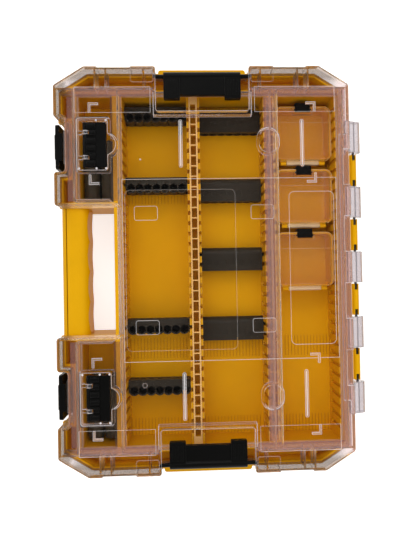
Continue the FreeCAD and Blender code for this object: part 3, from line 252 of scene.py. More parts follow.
tree.links.new(add_node(tree, "LightPath").outputs["Is Camera Ray"], direct.inputs[0])
tree.links.new(shown.outputs[0], direct.inputs[2])
direct.inputs[3].default_value = 1.0
light = add_node(tree, "Background", Color=(1.0, 1.0, 1.0, 1.0))
tree.links.new(direct.outputs[0], light.inputs["Strength"])
wear_surface(tree, light, "OutputWorld")
print("sky from", SKY_LOW, "to", SKY_TOP, "and its light from", LIGHT_LOW, "to", LIGHT_TOP)

# %% [markdown]
# ## Soft lamps
# Four wide lamps stand around the case, about as high as they stand out from it, and give the
# black pieces their lines of light. The sky alone would light them too evenly for that. Clear
# plastic lies in several layers here, so light may bounce and pass through more often than
# Blender allows by itself.

# %% Soft lamps around the case
LAMP_HEIGHT, LAMP_OUT, LAMP_SIZE, LAMP_AIM = 1.15, 1.1, 0.8, (0.0, 0.0, 0.03)
LAMPS = (("lamp_back", 100.0, 4.6), ("lamp_left", 170.0, 2.6),
         ("lamp_right", 20.0, 2.0), ("lamp_front", 280.0, 1.6))
for name, bearing, watts in LAMPS:
    lamp_data = bpy.data.lights.new(name, "AREA")
    lamp_data.shape = "DISK"
    lamp_data.size = LAMP_SIZE
    lamp_data.energy = watts
    lamp = bpy.data.objects.new(name, lamp_data)
    around = math.radians(bearing)
    lamp.location = (LAMP_OUT * math.cos(around), LAMP_OUT * math.sin(around), LAMP_HEIGHT)
    aim = Vector(LAMP_AIM) - lamp.location
    lamp.rotation_euler = aim.to_track_quat("-Z", "Y").to_euler()
    bpy.context.scene.collection.objects.link(lamp)
cycles = bpy.context.scene.cycles
cycles.max_bounces, cycles.transmission_bounces, cycles.transparent_max_bounces = 24, 20, 32
bpy.context.scene.view_settings.view_transform = "Standard"
print("lamps:", [name for name, bearing, watts in LAMPS])

# %% [markdown]
# ## Moulded plastic
# The tray, the bars and the black fittings are injection moulded. Close up, such plastic has a
# fine spark-eroded grain, slow clouds of slightly different colour, and edges that are a little
# rounded. Those edges are made paler, partly as rubbing wear and partly as a painted highlight,
# which stands in for the thin line of light that a rounded edge catches. Grain and clouds could be
# painted as pictures, but noise on the object's own coordinates needs none and stays put on the
# piece. The rounding of very small edges comes from a bevel of the shading normal, which adds no
# faces and also tells where an edge is.

# %% Where moulded plastic shows wear, and where its edges get a painted highlight
EDGE_WEAR_AND_HIGHLIGHT_GAIN, WEAR_AND_HIGHLIGHT_MOST, RUB_GAIN, RUB_MOST = 1.2, 0.6, 0.9, 0.45


def edge_wear_and_highlight(tree, place, soft_edge, rub_from):
    """How much a place is made paler: its edges, by wear and a painted highlight, and all that lies
    above a height in millimetres, by rubbing.
    """
    turned = add_node(tree, "VectorMath", operation="DOT_PRODUCT")
    tree.links.new(soft_edge, turned.inputs[0])
    tree.links.new(add_node(tree, "NewGeometry").outputs["Normal"], turned.inputs[1])
    off_edge = sum_of(tree, "SUBTRACT", 1.0, turned.outputs["Value"])
    worn_and_highlit = sum_of(tree, "MULTIPLY", off_edge, EDGE_WEAR_AND_HIGHLIGHT_GAIN)
    if rub_from:
        at = add_node(tree, "SeparateXYZ")
        tree.links.new(place, at.inputs[0])
        above = sum_of(tree, "SUBTRACT", at.outputs["Z"], rub_from * MM)
        top = sum_of(tree, "MULTIPLY", above, RUB_GAIN / MM)
        worn_and_highlit = sum_of(tree, "MAXIMUM", worn_and_highlit, sum_of(tree, "MINIMUM", top, RUB_MOST))
    return sum_of(tree, "MINIMUM", worn_and_highlit, WEAR_AND_HIGHLIGHT_MOST)


# Edges are made paler partly by wear and partly by a painted highlight.
print("edges are worn by", WEAR_AND_HIGHLIGHT_MOST, "at most")

# %% A recipe for moulded plastic
CLOUD_SCALE, SAND_SCALE, SAND_DEPTH = 38.0, 2600.0, 0.0001
DEEP_SHARE, SHINE_LOW, SHINE_HIGH = 0.86, 0.8, 1.25


def moulded_plastic(name, colour, pale, grain, rough, edge_radius, gloss, rub_from=None):
    """Opaque plastic: grain, clouds, paler edges that are wear and a painted highlight, and an edge
    radius in millimetres.
    """
    material, tree = new_material(name)
    place = add_node(tree, "TexCoord").outputs["Object"]
    clouds = add_node(tree, "TexNoise", Scale=CLOUD_SCALE, Detail=3.0, Roughness=0.55)
    tree.links.new(place, clouds.inputs["Vector"])
    cloudy = clouds.outputs["Fac"]
    deep = tuple(c * DEEP_SHARE for c in colour)
    soft_edge = add_node(tree, "Bevel", samples=6, Radius=edge_radius * MM).outputs[0]
    # The pale edges are partly wear and partly a painted highlight along each edge.
    worn_and_highlit = edge_wear_and_highlight(tree, place, soft_edge, rub_from)
    paint = mixed(tree, worn_and_highlit, mixed(tree, cloudy, deep, colour), pale)
    sand = add_node(tree, "TexNoise", Scale=SAND_SCALE, Detail=2.0)
    tree.links.new(place, sand.inputs["Vector"])
    bump = add_node(tree, "Bump", Strength=grain, Distance=SAND_DEPTH)
    tree.links.new(sand.outputs["Fac"], bump.inputs["Height"])
    tree.links.new(soft_edge, bump.inputs["Normal"])
    shader = add_node(tree, "BsdfPrincipled")
    shader.inputs["Specular IOR Level"].default_value = gloss
    tree.links.new(paint, shader.inputs["Base Color"])
    shine = graded(tree, cloudy, rough * SHINE_LOW, rough * SHINE_HIGH)
    tree.links.new(shine, shader.inputs["Roughness"])
    tree.links.new(bump.outputs[0], shader.inputs["Normal"])
    wear_surface(tree, shader)
    return material


print("recipe ready:", moulded_plastic.__name__)

# %% [markdown]
# ## Yellow, black and grey
# The tray and its two rails are the same yellow. The bars slide along the top of the left rail,
# so that top is rubbed pale. The black of the fittings is nearly without colour, the bars are a
# warm dark grey, and the spare bars, which stand loose and rub against each other, are paler.
# Each could be a tree of its own, but they differ only in numbers, so one recipe makes them all.

# %% Finishes of moulded plastic
RAIL_TOP_RUBBED = 40.0
# Each pale colour goes on the edges, partly as wear and partly as a painted highlight. On the black
# fittings and the rails it is mostly the painted highlight: the lines of light along their edges.
tray_yellow = moulded_plastic("tray_yellow", (0.80, 0.40, 0.001), (0.88, 0.52, 0.03),
                              grain=0.12, rough=0.40, edge_radius=0.5, gloss=0.06)
rail_yellow = moulded_plastic("rail_yellow", (0.78, 0.39, 0.002), (0.95, 0.66, 0.30),
                              grain=0.12, rough=0.40, edge_radius=0.8, gloss=0.06)
rail_rubbed = moulded_plastic("rail_rubbed", (0.78, 0.39, 0.002), (0.92, 0.62, 0.36),
                              grain=0.12, rough=0.40, edge_radius=0.8, gloss=0.06,
                              rub_from=RAIL_TOP_RUBBED)
# The pale of the black fittings is a painted highlight along their edges.
fitting_black = moulded_plastic("fitting_black", (0.0035, 0.0034, 0.003), (0.05, 0.05, 0.047),
                                grain=0.2, rough=0.40, edge_radius=0.35, gloss=0.12)
bar_grey = moulded_plastic("bar_grey", (0.032, 0.026, 0.016), (0.085, 0.075, 0.055),
                           grain=0.25, rough=0.45, edge_radius=0.35, gloss=0.25)
spare_grey = moulded_plastic("spare_grey", (0.068, 0.060, 0.040), (0.14, 0.125, 0.095),
                             grain=0.25, rough=0.45, edge_radius=0.35, gloss=0.25)
moulded = (tray_yellow, rail_yellow, rail_rubbed, fitting_black, bar_grey, spare_grey)
print("plastics:", [m.name for m in moulded])

# %% [markdown]
# ## Steel pins
# The hinge pins are drawn wire with a dark oil finish. Fine scratches run along the wire. A gloss
# that is stretched one way could show them, but it needs a direction on every face. A noise that
# is stretched along the pin does not. Most pins lie along the case, so the stretch is along Y.

# %% Dark drawn wire
WIRE_DARK, WIRE_LIGHT = (0.05, 0.05, 0.055), (0.14, 0.14, 0.145)
WIRE_SCALE, WIRE_STRETCH, WIRE_SMOOTH, WIRE_ROUGH = 1800.0, 0.02, 0.3, 0.5
pin_steel, tree = new_material("pin_steel")
along = add_node(tree, "Mapping", Scale=(1.0, WIRE_STRETCH, 1.0))
tree.links.new(add_node(tree, "TexCoord").outputs["Object"], along.inputs["Vector"])
drawn = add_node(tree, "TexNoise", Scale=WIRE_SCALE, Detail=2.0)
tree.links.new(along.outputs[0], drawn.inputs["Vector"])
scratches = drawn.outputs["Fac"]
shader = add_node(tree, "BsdfPrincipled", Metallic=1.0)
tree.links.new(mixed(tree, scratches, WIRE_DARK, WIRE_LIGHT), shader.inputs["Base Color"])
tree.links.new(graded(tree, scratches, WIRE_SMOOTH, WIRE_ROUGH), shader.inputs["Roughness"])
wear_surface(tree, shader)
print("steel:", pin_steel.name)

# %% [markdown]
# ## Clear plastic
# The lid is polished clear plastic, and the lids of the small boxes are a little frosted. Glass
# shading bends what lies behind it. Light that falls through to the tray would need many more
# samples if it were bent as well, so for shadows and for soft light the plastic is only a tint.
# The lid's rim stands out past the tray's walls. It is thick there, so it is greyer and dims the
# light, and a grade over the last few millimetres gives that.

# %% Grey toward the rim, a tint to soft light
RIM_Y, RIM_LEFT, RIM_RIGHT, RIM_GAIN = 150.0, -107.0, 116.5, 0.3


def toward_rim(tree, place):
    """0 over the tray, 1 in the rim that stands out past the tray's walls."""
    at = add_node(tree, "SeparateXYZ")
    tree.links.new(place, at.inputs[0])
    sides = (("Y", 1.0, RIM_Y), ("Y", -1.0, RIM_Y),
             ("X", -1.0, -RIM_LEFT - CASE_X), ("X", 1.0, RIM_RIGHT + CASE_X))
    steps = []
    for axis, sign, start in sides:
        out = sum_of(tree, "MULTIPLY", at.outputs[axis], sign / MM)
        steps.append(sum_of(tree, "MULTIPLY", sum_of(tree, "SUBTRACT", out, start), RIM_GAIN))
    far = sum_of(tree, "MAXIMUM", sum_of(tree, "MAXIMUM", steps[0], steps[1]),
                 sum_of(tree, "MAXIMUM", steps[2], steps[3]))
    return sum_of(tree, "MINIMUM", sum_of(tree, "MAXIMUM", far, 0.0), 1.0)


def only_a_tint(tree, glass, passing):
    """Glass to the eye, and a plain tint to soft light and to shadows."""
    path = add_node(tree, "LightPath").outputs
    for ray in ("Is Diffuse Ray", "Is Shadow Ray"):
        choice = add_node(tree, "MixShader")
        tree.links.new(path[ray], choice.inputs[0])
        tree.links.new(glass.outputs[0], choice.inputs[1])
        tree.links.new(passing.outputs[0], choice.inputs[2])
        glass = choice
    return glass


print("the rim turns grey over", round(1.0 / RIM_GAIN, 1), "mm")

# %% A recipe for clear plastic
HAZE_SCALE, POLISH_LOW, POLISH_HIGH, RIM_LIGHT = 22.0, 0.4, 1.6, (0.80, 0.73, 0.64)


def clear_plastic(name, tint, veil, rough, through, clarity=1.0, bend=1.49, rim=None):
    """Clear plastic: its tint with clouds of a veil, its frost, and the share that is not milky."""
    material, tree = new_material(name)
    place = add_node(tree, "TexCoord").outputs["Object"]
    haze = add_node(tree, "TexNoise", Scale=HAZE_SCALE, Detail=4.0, Roughness=0.6)
    tree.links.new(place, haze.inputs["Vector"])
    hazy = haze.outputs["Fac"]
    colour = mixed(tree, hazy, tint, veil)
    passing = add_node(tree, "BsdfTransparent", Color=(*through, 1.0))
    if rim:
        rimward = toward_rim(tree, place)
        colour = mixed(tree, rimward, colour, rim)
        tree.links.new(mixed(tree, rimward, through, RIM_LIGHT), passing.inputs["Color"])
    glass = add_node(tree, "BsdfPrincipled", IOR=bend, Transmission_Weight=clarity)
    tree.links.new(colour, glass.inputs["Base Color"])
    polish = graded(tree, hazy, rough * POLISH_LOW, rough * POLISH_HIGH)
    tree.links.new(polish, glass.inputs["Roughness"])
    wear_surface(tree, only_a_tint(tree, glass, passing))
    return material


print("recipe ready:", clear_plastic.__name__)

# %% [markdown]
# ## Finishes of the lid
# One moulding shows many finishes. Lying faces are polished and fully clear. Standing faces keep
# the mould's slight frost. Rounded edges are made milky and nearly white, partly for frost and
# partly as a painted highlight of the light that a rounded clear edge bends and mirrors; the white
# crests of the ridges are a painted highlight as well. All of these are the same plastic, so only
# frost, milkiness and tint differ. Faces that should not bend the picture behind them get a bend
# just above 1.

# %% Polished, frosted and milky lid
DAYLIGHT, STRAIGHT = (0.995, 0.985, 0.985), 1.03
lid_clear = clear_plastic("lid_clear", (0.985, 0.97, 0.975), (0.975, 0.955, 0.965),
                          rough=0.015, through=DAYLIGHT, rim=(0.70, 0.655, 0.62))
wall_clear = clear_plastic("wall_clear", (0.95, 0.88, 0.90), (0.92, 0.84, 0.86),
                           rough=0.12, through=DAYLIGHT, clarity=0.84, bend=STRAIGHT,
                           rim=(0.60, 0.57, 0.56))
# The milky white of rounded edges is partly frost and partly a painted highlight.
edge_clear = clear_plastic("edge_clear", (0.95, 0.93, 0.94), (0.92, 0.89, 0.91),
                           rough=0.18, through=DAYLIGHT, clarity=0.36, bend=STRAIGHT,
                           rim=(0.34, 0.34, 0.36))
knuckle_frost = clear_plastic("knuckle_frost", (0.66, 0.62, 0.66), (0.60, 0.56, 0.60),
                              rough=0.15, through=DAYLIGHT, clarity=0.72, bend=1.35)
mark_frost = clear_plastic("mark_frost", (0.97, 0.92, 0.90), (0.94, 0.86, 0.84),
                           rough=0.2, through=DAYLIGHT, clarity=0.80, bend=STRAIGHT)
frame_clear = clear_plastic("frame_clear", (0.96, 0.93, 0.92), (0.94, 0.90, 0.89),
                            rough=0.18, through=DAYLIGHT, clarity=0.80, bend=STRAIGHT)
# A painted highlight: the white crests stand in for the light that a round ridge catches.
crest_painted_highlight = clear_plastic("crest_painted_highlight", (0.98, 0.95, 0.93), (0.96, 0.92, 0.90),
                            rough=0.2, through=DAYLIGHT, clarity=0.30, bend=STRAIGHT)
lid_finishes = (lid_clear, wall_clear, edge_clear, knuckle_frost, mark_frost, frame_clear,
                crest_painted_highlight)
print("lid finishes:", [m.name for m in lid_finishes])

# %% [markdown]
# ## Finishes of the small lids
# The lids of the small boxes are thin, a little yellow and evenly frosted. Their rounded edges
# and hinge barrels are thicker, so the same plastic looks milky there. More frost alone would
# only blur what lies behind, so their share of clear plastic is lowered as well.

# %% Small lids
BOX_LIGHT = (0.97, 0.95, 0.90)
box_clear = clear_plastic("box_clear", (0.985, 0.92, 0.78), (0.97, 0.89, 0.72),
                          rough=0.10, through=BOX_LIGHT, clarity=0.985)
box_edge = clear_plastic("box_edge", (0.92, 0.72, 0.46), (0.88, 0.66, 0.40),
                         rough=0.2, through=BOX_LIGHT, clarity=0.5, bend=STRAIGHT)
print("small lid finishes:", box_clear.name, box_edge.name)

# %% [markdown]
# ## The finishes go on
# Each measured solid keeps its shape and takes its finish by a slot, which its name tells. The
# slot could be looked up node by node, but the nodes are named for what they are, so the name
# says it.

# %% Dress the measured solids
finish_of = {"tray_plastic": tray_yellow, "clear_plastic": wall_clear,
             "box_clear_plastic": box_clear, "black_plastic": fitting_black,
             "bar_plastic": bar_grey, "pin_steel": pin_steel}


def slot_of(node):
    """The slot that a node's name tells."""
    if "pin" in node:
        return "pin_steel"
    if node.startswith("bit_box_lid"):
        return "box_clear_plastic"
    if node.startswith(("front_latch", "lid_tab", "end_clip", "bit_box_latch")):
        return "black_plastic"
    if "bar" in node:
        return "bar_plastic"
    if node in bodies["lid"]:
        return "clear_plastic"
    return "tray_plastic"


own_finish = {"lid": lid_clear, "partition_left": rail_rubbed, "partition_right": rail_yellow}
own_finish.update((name, spare_grey) for name in nodes if name.startswith("spare_bit_bar"))
for name, node in nodes.items():
    node.data.materials.clear()
    node.data.materials.append(own_finish.get(name, finish_of[slot_of(name)]))
print("dressed", len(nodes), "solids, with a finish of their own:", len(own_finish))

# %% [markdown]
# ## The lid as one moulding
# The lid is measured in parts: its panel, rim, sealing lips and the cups of its recesses. On the
# real case these are one clear moulding, and no seam shows between them. The parts could be shown
# as they are, but clear plastic shows every inner wall. So copies of them are united by a Boolean.

# %% Copies of measured solids
WELD, FLAT_ANGLE = 0.002, math.radians(0.5)


def make_whole(bm, weld):
    """Loose triangles are merged and flat faces made whole."""
    bmesh.ops.remove_doubles(bm, verts=bm.verts, dist=weld * MM)
    bmesh.ops.dissolve_limit(bm, angle_limit=FLAT_ANGLE, verts=bm.verts, edges=bm.edges)


def merged_copy(node, name, finish):
    """A copy of a measured solid, with its triangles made whole."""
    bm = bmesh.new()
    bm.from_mesh(nodes[node].data)
    make_whole(bm, WELD)
    mesh = bpy.data.meshes.new(name)
    bm.to_mesh(mesh)
    bm.free()
    mesh.materials.append(finish)
    return bpy.data.objects.new(name, mesh)


def add_piece(piece, body):
    """The piece joins the scene and moves with its body."""
    bpy.context.scene.collection.objects.link(piece)
    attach(piece, body)
    return piece


lid_nodes = [n for n in bodies["lid"] if not n.startswith("tab_pin")]
print("the lid is measured in", len(lid_nodes), "parts")

# %% Unite the lid
other_parts = bpy.data.collections.new("lid_parts")
bpy.context.scene.collection.children.link(other_parts)
whole = merged_copy("lid", "lid_whole", lid_clear)
bpy.context.scene.collection.objects.link(whole)
for n in lid_nodes:
    if n != "lid":
        other_parts.objects.link(merged_copy(n, "part_" + n, wall_clear))
unite = whole.modifiers.new("unite", "BOOLEAN")
unite.operation = "UNION"
unite.operand_type = "COLLECTION"
unite.collection = other_parts
unite.solver = "EXACT"
unite.material_mode = "TRANSFER"
depsgraph = bpy.context.evaluated_depsgraph_get()
lid_mesh = bpy.data.meshes.new_from_object(whole.evaluated_get(depsgraph))
for part in list(other_parts.objects) + [whole]:
    bpy.data.objects.remove(part)
bpy.data.collections.remove(other_parts)
print("lid united:", len(lid_mesh.polygons), "faces")

# %% [markdown]
# ## Rounded edges
# A mould maker rounds every outer edge, and on the clear lid the rounded edges draw the white
# lines by which one sees it. A Bevel modifier would do for a plain block, but on this lid it
# leaves spikes where an edge is shorter than the rounding. So a bevel is tried, each corner where
# it goes astray is left sharp, and it is tried again.

# %% A bevel that leaves narrow corners alone
OUTER_ANGLE, STRAY_ALONG, STRAY_OFF = math.radians(40), 2.6, 0.5
TINY_FACE, FOLDED = 2e-10, 0.2


def corners_gone_astray(bm, corners, skin, width):
    """The corners near which a bevel left the skin or folded a face over."""
    astray = set()
    for v in bm.verts:
        place, corner, away = corners.find(v.co)
        if away > STRAY_ALONG * width or skin.find_nearest(v.co)[3] > STRAY_OFF * width:
            astray.add(corner)
    for loops in bm.calc_loop_triangles():
        a, b, c = [loop.vert.co for loop in loops]
        across = (b - a).cross(c - a)
        if across.length > TINY_FACE and across.normalized().dot(loops[0].face.normal) < FOLDED:
            astray.update(corners.find(loop.vert.co)[1] for loop in loops)
    return astray


def rounded(mesh, width, passes=6):
    """The mesh with its outer edges rounded; corners too narrow for the rounding stay sharp."""
    plain = bmesh.new()
    plain.from_mesh(mesh)
    plain.verts.ensure_lookup_table()
    skin = BVHTree.FromBMesh(plain)
    corners = KDTree(len(plain.verts))
    for corner in plain.verts:
        corners.insert(corner.co, corner.index)
    corners.balance()
    sharp = set()
    for attempt in range(passes):
        bm = bmesh.new()
        bm.from_mesh(mesh)
        outer = [e for e in bm.edges if e.index not in sharp and e.is_manifold
                 and e.calc_face_angle_signed() > OUTER_ANGLE]
        made = bmesh.ops.bevel(bm, geom=outer, offset=width, offset_type="OFFSET", affect="EDGES",
                               segments=2, profile=0.5, material=-1, loop_slide=False,
                               clamp_overlap=False)
        astray = corners_gone_astray(bm, corners, skin, width)
        left = {e.index for corner in astray for e in plain.verts[corner].link_edges} - sharp
        if not left or attempt == passes - 1:
            break
        sharp |= left
        bm.free()
    plain.free()
    print(mesh.name, "edges rounded:", len(outer), "corners astray:", len(astray))
    return bm, made["faces"]


print("bevel ready for edges over", round(math.degrees(OUTER_ANGLE)), "degrees")

# %% [markdown]
# ## The lid takes its finishes
# Which finish a face of the lid gets follows from where it lies. Lying faces are clear, standing
# ones frosted, raised marks matt and rounded edges milky, apart from the low frame of the middle
# panel, which hardly shows. The milky white of the rounded edges is partly frost and partly a
# painted highlight. The hinge knuckles are thick and grey. The crests of the long ridges carry a
# painted highlight, a white strip for the light that a round crest catches, so each crest is set in
# from the ridge's edge as a face of its own. The finishes could be picked by hand in edit mode, but
# a few measured limits do it again after every change.

# %% Round the lid
EDGE_ROUND, LID_WELD = 0.30, 0.01
bm = bmesh.new()
bm.from_mesh(lid_mesh)
make_whole(bm, LID_WELD)
bm.to_mesh(lid_mesh)
bm.free()
lid_mesh.name = "clear_lid"
bm, edge_faces = rounded(lid_mesh, EDGE_ROUND * MM)

# %% Choose a finish for each face
LYING, TOP_FACE, KNUCKLE_FROM = 0.7, 66.3, 119.8
PANEL_X, PANEL_Y, PANEL_Z = (-69.0, 40.0), 66.0, (64.4, 65.75)
RIDGES_X, RIDGE_HALF, RIDGE_CREST = (-18.0, 79.0), 2.0, 0.85
lid_slot = {finish.name: index for index, finish in enumerate(lid_finishes)}


def lid_finish(face):
    """The finish of a face that is not a rounded edge."""
    middle = face.calc_center_median()
    if middle.x > spot(KNUCKLE_FROM, 0.0, 0.0).x:
        return "knuckle_frost"
    if abs(face.normal.z) <= LYING:
        return "wall_clear"
    return "mark_frost" if middle.z > TOP_FACE * MM else "lid_clear"


def edge_finish(face):
    """The finish of a rounded edge: faint round the middle panel, milky elsewhere."""
    middle = face.calc_center_median() / MM
    beside = PANEL_X[0] < middle.x - CASE_X < PANEL_X[1] and abs(middle.y) < PANEL_Y
    return "frame_clear" if beside and PANEL_Z[0] < middle.z < PANEL_Z[1] else "edge_clear"


def from_ridge(face):
    """How far a face lies from the middle line of the nearest ridge."""
    across = face.calc_center_median().x / MM - CASE_X
    return min(abs(across - x) for x in RIDGES_X)


for face in bm.faces:
    face.smooth = False
    face.material_index = lid_slot[lid_finish(face)]
for face in edge_faces:
    face.material_index = lid_slot[edge_finish(face)]
# The ridge crests get the painted highlight.
crests = [f for f in bm.faces if f.material_index == lid_slot["mark_frost"]
          and from_ridge(f) < RIDGE_HALF]
bmesh.ops.inset_region(bm, faces=crests, thickness=RIDGE_CREST * MM, use_even_offset=True)
for face in crests:
    face.material_index = lid_slot["crest_painted_highlight"]
print("ridge crests:", len(crests), "rounded faces:", len(edge_faces))

# %% Show the lid
lid_mesh.materials.clear()
for finish in lid_finishes:
    lid_mesh.materials.append(finish)
bm.to_mesh(lid_mesh)
bm.free()
clear_lid = add_piece(bpy.data.objects.new("clear_lid", lid_mesh), "lid")
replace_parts(clear_lid, *lid_nodes)
print("lid faces:", len(lid_mesh.polygons))

# %% [markdown]
# ## Lids of the small boxes
# The small boxes have thin clear lids with a step near the latch. The measured lids have sharp
# edges, which hold no light, so rounded copies take their place. The rounded edges are a little
# milky, so that outline and step can be seen, and so is the hinge barrel at the back.

# %% Round the small lids
SMALL_LID_ROUND, SMALL_BARREL = 0.3, 3.1
for number in (1, 2, 3):
    node = "bit_box_lid_%d" % number
    small_lid = merged_copy(node, "clear_" + node, box_clear)
    bm, edge_faces = rounded(small_lid.data, SMALL_LID_ROUND * MM)
    barrel_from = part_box(node)[0].y + SMALL_BARREL * MM
    for face in bm.faces:
        face.material_index = 1 if face.calc_center_median().y < barrel_from else 0
    for face in edge_faces:
        face.material_index = 1
    small_lid.data.materials.append(box_edge)
    bm.to_mesh(small_lid.data)
    bm.free()
    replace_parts(add_piece(small_lid, node), node)
    print(small_lid.name, "faces:", len(small_lid.data.polygons))

# %% [markdown]
# ## Black fittings
# Latches, tabs and clips are stiff black mouldings with edges that a finger can rest on. Their
# measured solids have sharp edges, so copies of them are rounded with the same bevel as the lid.
# The rounded edges hold a thin line of light, which is nearly all one sees of a black piece.

# %% Round the black fittings
FITTING_ROUND = 0.45
body_of = {node: body for body, members in bodies.items() for node in members}
fittings = [n for n in nodes if slot_of(n) == "black_plastic"]
for node in fittings:
    fitting = merged_copy(node, "soft_" + node, fitting_black)
    bm, edge_faces = rounded(fitting.data, FITTING_ROUND * MM)
    bm.to_mesh(fitting.data)
    bm.free()
    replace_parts(add_piece(fitting, body_of[node]), node)
print("black fittings rounded:", len(fittings))

# %% [markdown]
# ## Ribs under the thumb
# The two end blocks of each clip carry fine ribs, so that a thumb finds hold. They are cut into
# the mould with a small cutter. A bump in the finish would do from afar, but real ribs also cast
# small shadows. So each rib is a narrow block, a little sunk, with its top edges bevelled.


# %% Blocks and finished pieces
def add_block(bm, low, high):
    """A block between two corners, added to a mesh."""
    size = [b - a for a, b in zip(low, high)]
    place = Matrix.Translation((low + high) / 2) @ Matrix.Diagonal((*size, 1.0))
    return bmesh.ops.create_cube(bm, size=1.0, matrix=place)["verts"]


def at_end(end, ys):
    """A stretch along the case, at its far end or mirrored to its near end."""
    return sorted(end * y for y in ys)


def piece_from(bm, name, finishes, body, slot):
    """A finished mesh becomes a piece of the case."""
    bmesh.ops.recalc_face_normals(bm, faces=bm.faces)
    mesh = bpy.data.meshes.new(name)
    bm.to_mesh(mesh)
    bm.free()
    for finish in finishes:
        mesh.materials.append(finish)
    print(name, "faces:", len(mesh.polygons))
    return add_piece(bpy.data.objects.new(name, mesh), body)


ENDS = (-1.0, 1.0)
print("helpers ready:", add_block.__name__, at_end.__name__, piece_from.__name__)

# %% Ribs on the clips
RIB_PITCH, RIB_WIDTH, RIB_RISE, RIB_SUNK, RIB_BEVEL, RIB_COUNT = 1.25, 0.55, 0.3, 0.1, 0.15, 8
CLIP_BLOCK_X, CLIP_BLOCK_Y, CLIP_BLOCK_TOP = 24.5, (139.5, 152.0), 63.4
for end, clip in ((1.0, "end_clip_top"), (-1.0, "end_clip_bottom")):
    near, far = at_end(end, CLIP_BLOCK_Y)
    bm = bmesh.new()
    for side in (-1.0, 1.0):
        for index in range(RIB_COUNT):
            x = side * CLIP_BLOCK_X + (index - (RIB_COUNT - 1) / 2) * RIB_PITCH
            add_block(bm, spot(x - RIB_WIDTH / 2, near, CLIP_BLOCK_TOP - RIB_SUNK),
                      spot(x + RIB_WIDTH / 2, far, CLIP_BLOCK_TOP + RIB_RISE))
    top_edges = [e for e in bm.edges if min(v.co.z for v in e.verts) > CLIP_BLOCK_TOP * MM]
    bmesh.ops.bevel(bm, geom=top_edges, offset=RIB_BEVEL * MM, affect="EDGES", segments=1,
                    profile=0.5, material=-1)
    piece_from(bm, clip + "_ribs", [fitting_black], body_of[clip], "black_plastic")

# %% [markdown]
# ## Shoulders of the lid
# On both sides of each clip the lid carries a low block, which keeps stacked cases from sliding.
# Each is a plate with round corners and a rounded, matt rim. Its outline could be drawn as a
# curve and given a height. Two bevels on a block need no curve: the first rounds its upright
# edges, the second the edges of its top.

# %% Shoulders beside the clips
SHOULDER_X, SHOULDER_Y, SHOULDER_Z = (38.6, 57.0), (149.0, 161.4), (66.02, 66.9)
SHOULDER_CORNER, SHOULDER_RIM, SHOULDER_UPPER = 2.0, 0.5, 66.5
UPRIGHT, RIM_ANGLE = 0.5, 1.0
shoulder_clear = clear_plastic("shoulder_clear", (0.985, 0.96, 0.955), (0.97, 0.94, 0.935),
                               rough=0.05, through=DAYLIGHT, bend=STRAIGHT)
bm = bmesh.new()
for side in (-1.0, 1.0):
    for end in ENDS:
        left, right = sorted(side * x for x in SHOULDER_X)
        near, far = at_end(end, SHOULDER_Y)
        corners = add_block(bm, spot(left, near, SHOULDER_Z[0]), spot(right, far, SHOULDER_Z[1]))
        upright = [e for e in bm.edges if e.verts[0] in corners and e.verts[1] in corners
                   and abs(e.verts[0].co.z - e.verts[1].co.z) > UPRIGHT * MM]
        bmesh.ops.bevel(bm, geom=upright, offset=SHOULDER_CORNER * MM, affect="EDGES",
                        segments=6, profile=0.5, material=-1)
top_edges = [e for e in bm.edges if min(v.co.z for v in e.verts) > SHOULDER_UPPER * MM
             and e.calc_face_angle() > RIM_ANGLE]
rim = bmesh.ops.bevel(bm, geom=top_edges, offset=SHOULDER_RIM * MM, affect="EDGES", segments=2,
                      profile=0.5, material=-1)
for face in rim["faces"]:
    face.material_index = 1
piece_from(bm, "lid_shoulders", [shoulder_clear, mark_frost], "lid", "clear_plastic")

# %% [markdown]
# ## Frosted bands of the lid
# Where the lid meets the tray's walls, and over the right rail, its inside is left matt, because
# the mould is only spark eroded there. Seen from above these strips are rose veils. The strip over
# the wall beside the side compartments is a painted shade: a smoky brown plate that darkens the
# top of that wall as if it lay in shade. The lid's own faces would have to be cut along each strip
# to take another finish, so a strip is a thin plate on its inside.

# %% Frosted bands, and a plate of painted shade
BAND_THICK, BAND_Z, COVER_Z = 0.3, 51.8, 44.6
END_BANDS = (((-104.0, -39.0), (142.2, 148.6)), ((39.0, 112.0), (142.2, 148.6)),
             ((-109.9, -103.6), (57.0, 142.0)))
LONG_BANDS = (((112.3, 118.6), 148.6, BAND_Z), ((51.0, 58.6), 143.0, COVER_Z))
WALL_SHADE_BAND = ((-75.0, -69.4), (57.0, 142.0))
band_frost = clear_plastic("band_frost", (0.64, 0.46, 0.44), (0.58, 0.41, 0.40),
                           rough=0.25, through=DAYLIGHT, clarity=0.86, bend=1.02)
# A painted shade: a smoky brown plate that darkens the wall top below it.
band_painted_shade = clear_plastic("band_painted_shade", (0.62, 0.52, 0.44), (0.58, 0.48, 0.40),
                           rough=0.2, through=DAYLIGHT, clarity=0.96, bend=1.02)


def add_band(bm, xs, ys, z):
    """A thin plate over two stretches, lying at a height."""
    return add_block(bm, spot(xs[0], ys[0], z), spot(xs[1], ys[1], z + BAND_THICK))


bm = bmesh.new()
for end in ENDS:
    for xs, ys in END_BANDS:
        add_band(bm, xs, at_end(end, ys), BAND_Z)
for xs, reach, z in LONG_BANDS:
    add_band(bm, xs, (-reach, reach), z)
for end in ENDS:
    corners = add_band(bm, WALL_SHADE_BAND[0], at_end(end, WALL_SHADE_BAND[1]), BAND_Z)
    for face in {f for v in corners for f in v.link_faces}:
        face.material_index = 1
piece_from(bm, "lid_frosted_and_shade_bands", [band_frost, band_painted_shade], "lid", "clear_plastic")

